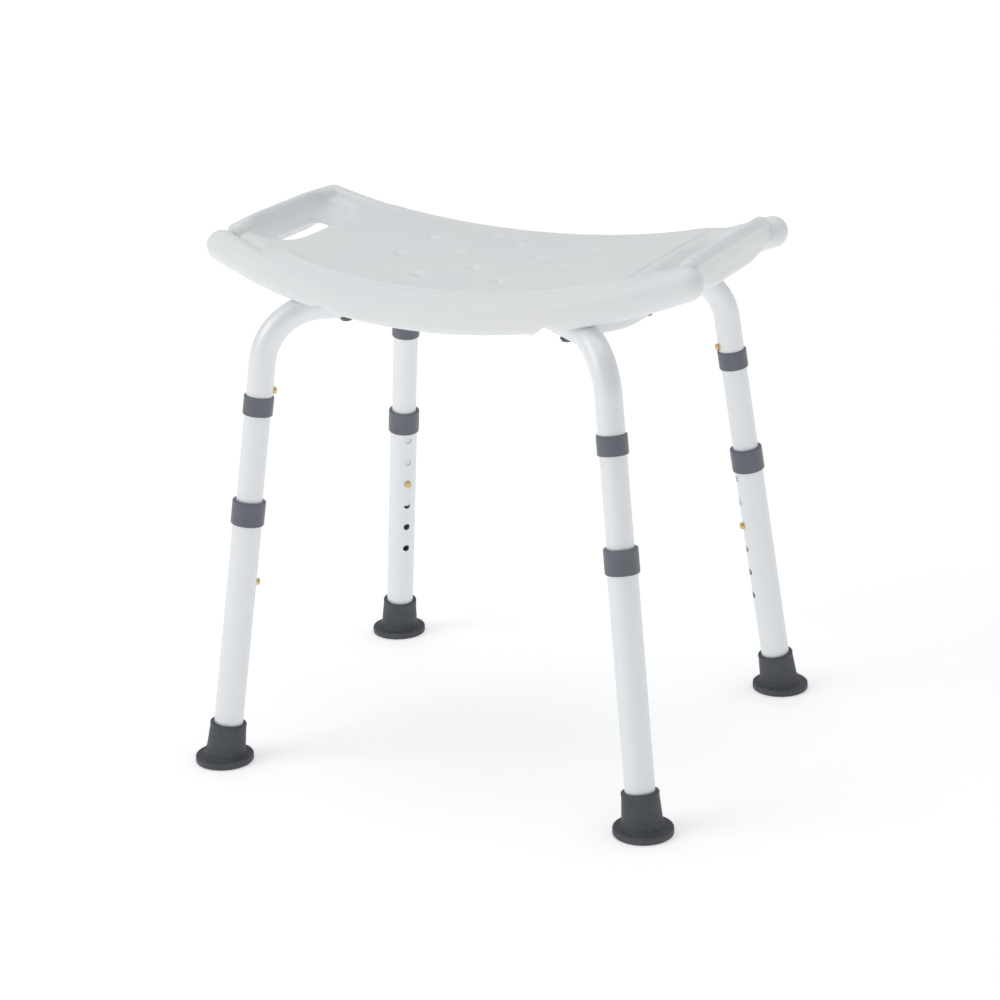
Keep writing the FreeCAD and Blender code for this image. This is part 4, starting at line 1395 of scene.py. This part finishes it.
@dataclass
class ScrewSet:
    """Screws of one kind, head down, each grown from one pattern at its spot."""

    node: str
    head_radius: float
    head_height: float
    shank_radius: float
    recess: float = 3.1
    recess_depth: float = 1.8
    spacing: float = 0.42

    def rule(self, x: np.ndarray, y: np.ndarray, z: np.ndarray) -> np.ndarray:
        """Gives the distance to one screw, head up at 0 and shank below it.

        Args:
            x: Places across the screw.
            y: Places across it the other way.
            z: Heights above the seat of the head.

        Returns:
            The distances, below 0 inside.
        """
        away = np.hypot(x, y)
        dome = np.sqrt((away / (self.head_radius * 1.25)) ** 2 + (z / self.head_height) ** 2) - 1
        head = shared(shared(dome * self.head_height, away - self.head_radius, 0.4), -z, 0.2)
        shank = shared(away - self.shank_radius, np.abs(z + self.length / 2) - self.length / 2, 0.5)
        body = joined(head, shank, 0.3)
        taper = 0.55 + 0.25 * np.maximum(z - self.head_height + self.recess_depth, 0) / self.recess_depth
        arm = np.minimum(np.maximum(np.abs(x) - taper, np.abs(y) - self.recess),
                         np.maximum(np.abs(y) - taper, np.abs(x) - self.recess))
        cross = np.maximum(arm, self.head_height - self.recess_depth - z)
        return less(body, cross, 0.15)

    def build(self) -> bpy.types.Object:
        """Grows the screws.

        Returns:
            The finished piece.
        """
        spots = spots_of(self.node)
        low, high = spots[0][2], spots[0][3]
        self.length = high - low - self.head_height
        side = np.arange(-self.head_radius - 1, self.head_radius + 1.2, self.spacing)
        rise = np.arange(-self.length - 1, self.head_height + 1.2, self.spacing)
        points, faces, normals = Moulding(self.rule, (side, side, rise), rounds=2).skin()
        pattern_mesh = bpy.data.meshes.new("screw_pattern")
        pattern_mesh.from_pydata((points * MM).tolist(), [], faces.tolist())
        pattern_mesh.shade_smooth()
        pattern = bpy.data.objects.new("screw_pattern", pattern_mesh)
        bpy.context.scene.collection.objects.link(pattern)
        seat_of_head = low + self.head_height
        base = base_object(self.node + "_set", [(x, y, seat_of_head) for x, y, _, _ in spots])
        tree = Grower("screws", {
            "Screw": ("NodeSocketObject", pattern),
            "Turn": ("NodeSocketVector", (math.pi, 0.0, 0.0)),
        })
        shape = tree.add("GeometryNodeObjectInfo", inputs={"Object": tree["Screw"]})
        placed = tree.add("GeometryNodeInstanceOnPoints", inputs={
            "Points": tree["Geometry"], "Instance": shape.outputs["Geometry"]})
        flipped = tree.add("GeometryNodeRotateInstances", inputs={
            "Instances": placed.outputs[0], "Rotation": tree["Turn"]})
        piece = tree.grow(flipped.outputs[0], DARK_ZINC, base)
        bpy.data.objects.remove(pattern)
        return dress(piece, DARK_ZINC, body_of(self.node), [self.node])


@dataclass
class Fixings:
    """The screws, washers, inserts, bolt and nut that hold the seat and the tubes together."""

    def build(self) -> None:
        """Grows the screws and dresses the rest."""
        for node in ("seat_screws", "centre_bolt"):
            ScrewSet(node, head_radius=5.25, head_height=3.0, shank_radius=3.0).build()
        ScrewSet("seat_end_screws", head_radius=4.0, head_height=4.6, shank_radius=2.2, recess=2.4).build()
        dress_node("seat_screw_washers", DARK_ZINC)
        dress_node("seat_inserts", INSERT_BRASS)
        dress_node("centre_nut", DARK_ZINC)


# ---------------------------------------------------------------- the studio


@dataclass
class Studio:
    """The floor, the soft lights and the camera."""

    camera_at: tuple[float, float, float] = (1055.4, -2213.6, 1047.8)
    ahead: tuple[float, float, float] = (-0.40986, 0.85614, -0.31469)
    above: tuple[float, float, float] = (-0.11156, 0.29536, 0.94885)
    lens: float = 95.44
    floor_half: float = 12.0
    glow_near: float = 0.31
    glow_far: float = 0.62

    def floor(self) -> None:
        """Lays a plain pale floor that glows a little, as a lit studio sweep does."""
        mesh = bpy.data.meshes.new("studio_floor")
        half = self.floor_half
        corners = [(-half, -half, 0), (half, -half, 0), (half, half, 0), (-half, half, 0)]
        mesh.from_pydata(corners, [], [(0, 1, 2, 3)])
        floor = bpy.data.objects.new("studio_floor", mesh)
        bpy.context.scene.collection.objects.link(floor)
        shader = Shader("studio_floor")
        shade = shader.spread(shader.noise(900.0, 2.0), 0.3, 0.7)
        pale = shader.blend(shade, (0.93, 0.93, 0.93), (0.95, 0.95, 0.95))
        shader.join(pale, shader.surface.inputs["Base Color"])
        shader.surface.inputs["Roughness"].default_value = 0.9
        shader.surface.inputs["Emission Color"].default_value = (1, 1, 1, 1)
        away = shader.add("ShaderNodeVectorMath", operation="LENGTH")
        shader.join(shader.spot, away.inputs[0])
        glow = shader.spread(away.outputs["Value"], 0.3, 4.0, self.glow_near, self.glow_far)
        shader.join(glow, shader.surface.inputs["Emission Strength"])
        mesh.materials.append(shader.material)

    def panel(self, name: str, at: tuple[float, float, float], size: float, watts: float,
              colour: tuple[float, float, float]) -> None:
        """Hangs a soft square light that faces the stool.

        Args:
            name: The light's name.
            at: Its place, in metres.
            size: The length of its side, in metres.
            watts: Its power.
            colour: Its colour.
        """
        light = bpy.data.lights.new(name, "AREA")
        light.size = size
        light.energy = watts
        light.color = colour
        made = bpy.data.objects.new(name, light)
        made.location = at
        made.rotation_euler = (Vector((0, 0, 0.3)) - Vector(at)).to_track_quat("-Z", "Y").to_euler()
        bpy.context.scene.collection.objects.link(made)

    def sky(self) -> None:
        """Makes the room white at eye level and softer overhead."""
        world = bpy.data.worlds.new("studio")
        world.use_nodes = True
        nodes, links = world.node_tree.nodes, world.node_tree.links
        where = nodes.new("ShaderNodeTexCoord")
        split = nodes.new("ShaderNodeSeparateXYZ")
        ramp = nodes.new("ShaderNodeMapRange")
        links.new(where.outputs["Generated"], split.inputs[0])
        links.new(split.outputs["Z"], ramp.inputs["Value"])
        for key, value in (("From Min", 0.0), ("From Max", 0.7), ("To Min", 0.6), ("To Max", 0.42)):
            ramp.inputs[key].default_value = value
        background = nodes["Background"]
        links.new(ramp.outputs["Result"], background.inputs["Strength"])
        background.inputs["Color"].default_value = (0.985, 0.99, 1.0, 1)
        bpy.context.scene.world = world

    def camera(self) -> None:
        """Sets the camera."""
        data = bpy.data.cameras.new("camera")
        data.sensor_width = 36.0
        data.lens = self.lens
        camera = bpy.data.objects.new("camera", data)
        ahead, above = Vector(self.ahead), Vector(self.above)
        right = ahead.cross(above)
        turn = Matrix((right, right.cross(ahead), -ahead)).transposed()
        camera.matrix_world = Matrix.Translation(Vector(self.camera_at) * MM) @ turn.to_4x4()
        bpy.context.scene.collection.objects.link(camera)
        bpy.context.scene.camera = camera

    def build(self) -> None:
        """Sets up the floor, lights and camera."""
        bpy.context.scene.view_settings.view_transform = "Standard"
        self.floor()
        self.sky()
        self.panel("key", at=(-2.2, -2.0, 2.3), size=2.0, watts=26.0, colour=(1.0, 0.99, 0.975))
        self.panel("overhead", at=(0.0, 0.3, 2.8), size=2.4, watts=23.0, colour=(0.94, 0.98, 1.0))
        self.camera()


def main() -> None:
    """Builds every sub-assembly in order, then the studio."""
    logging.basicConfig(level=logging.INFO, format="%(name)s: %(message)s")
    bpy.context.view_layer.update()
    SeatShell().build()
    CrossedTube("frame_tube_a", Leg.BACK_RIGHT, 1).build()
    CrossedTube("frame_tube_b", Leg.FRONT_RIGHT, -1).build()
    Fixings().build()
    for leg in Leg:
        TelescopicLeg(LegLine.read(leg)).build()
    Studio().build()


if __name__ == "__main__":
    main()
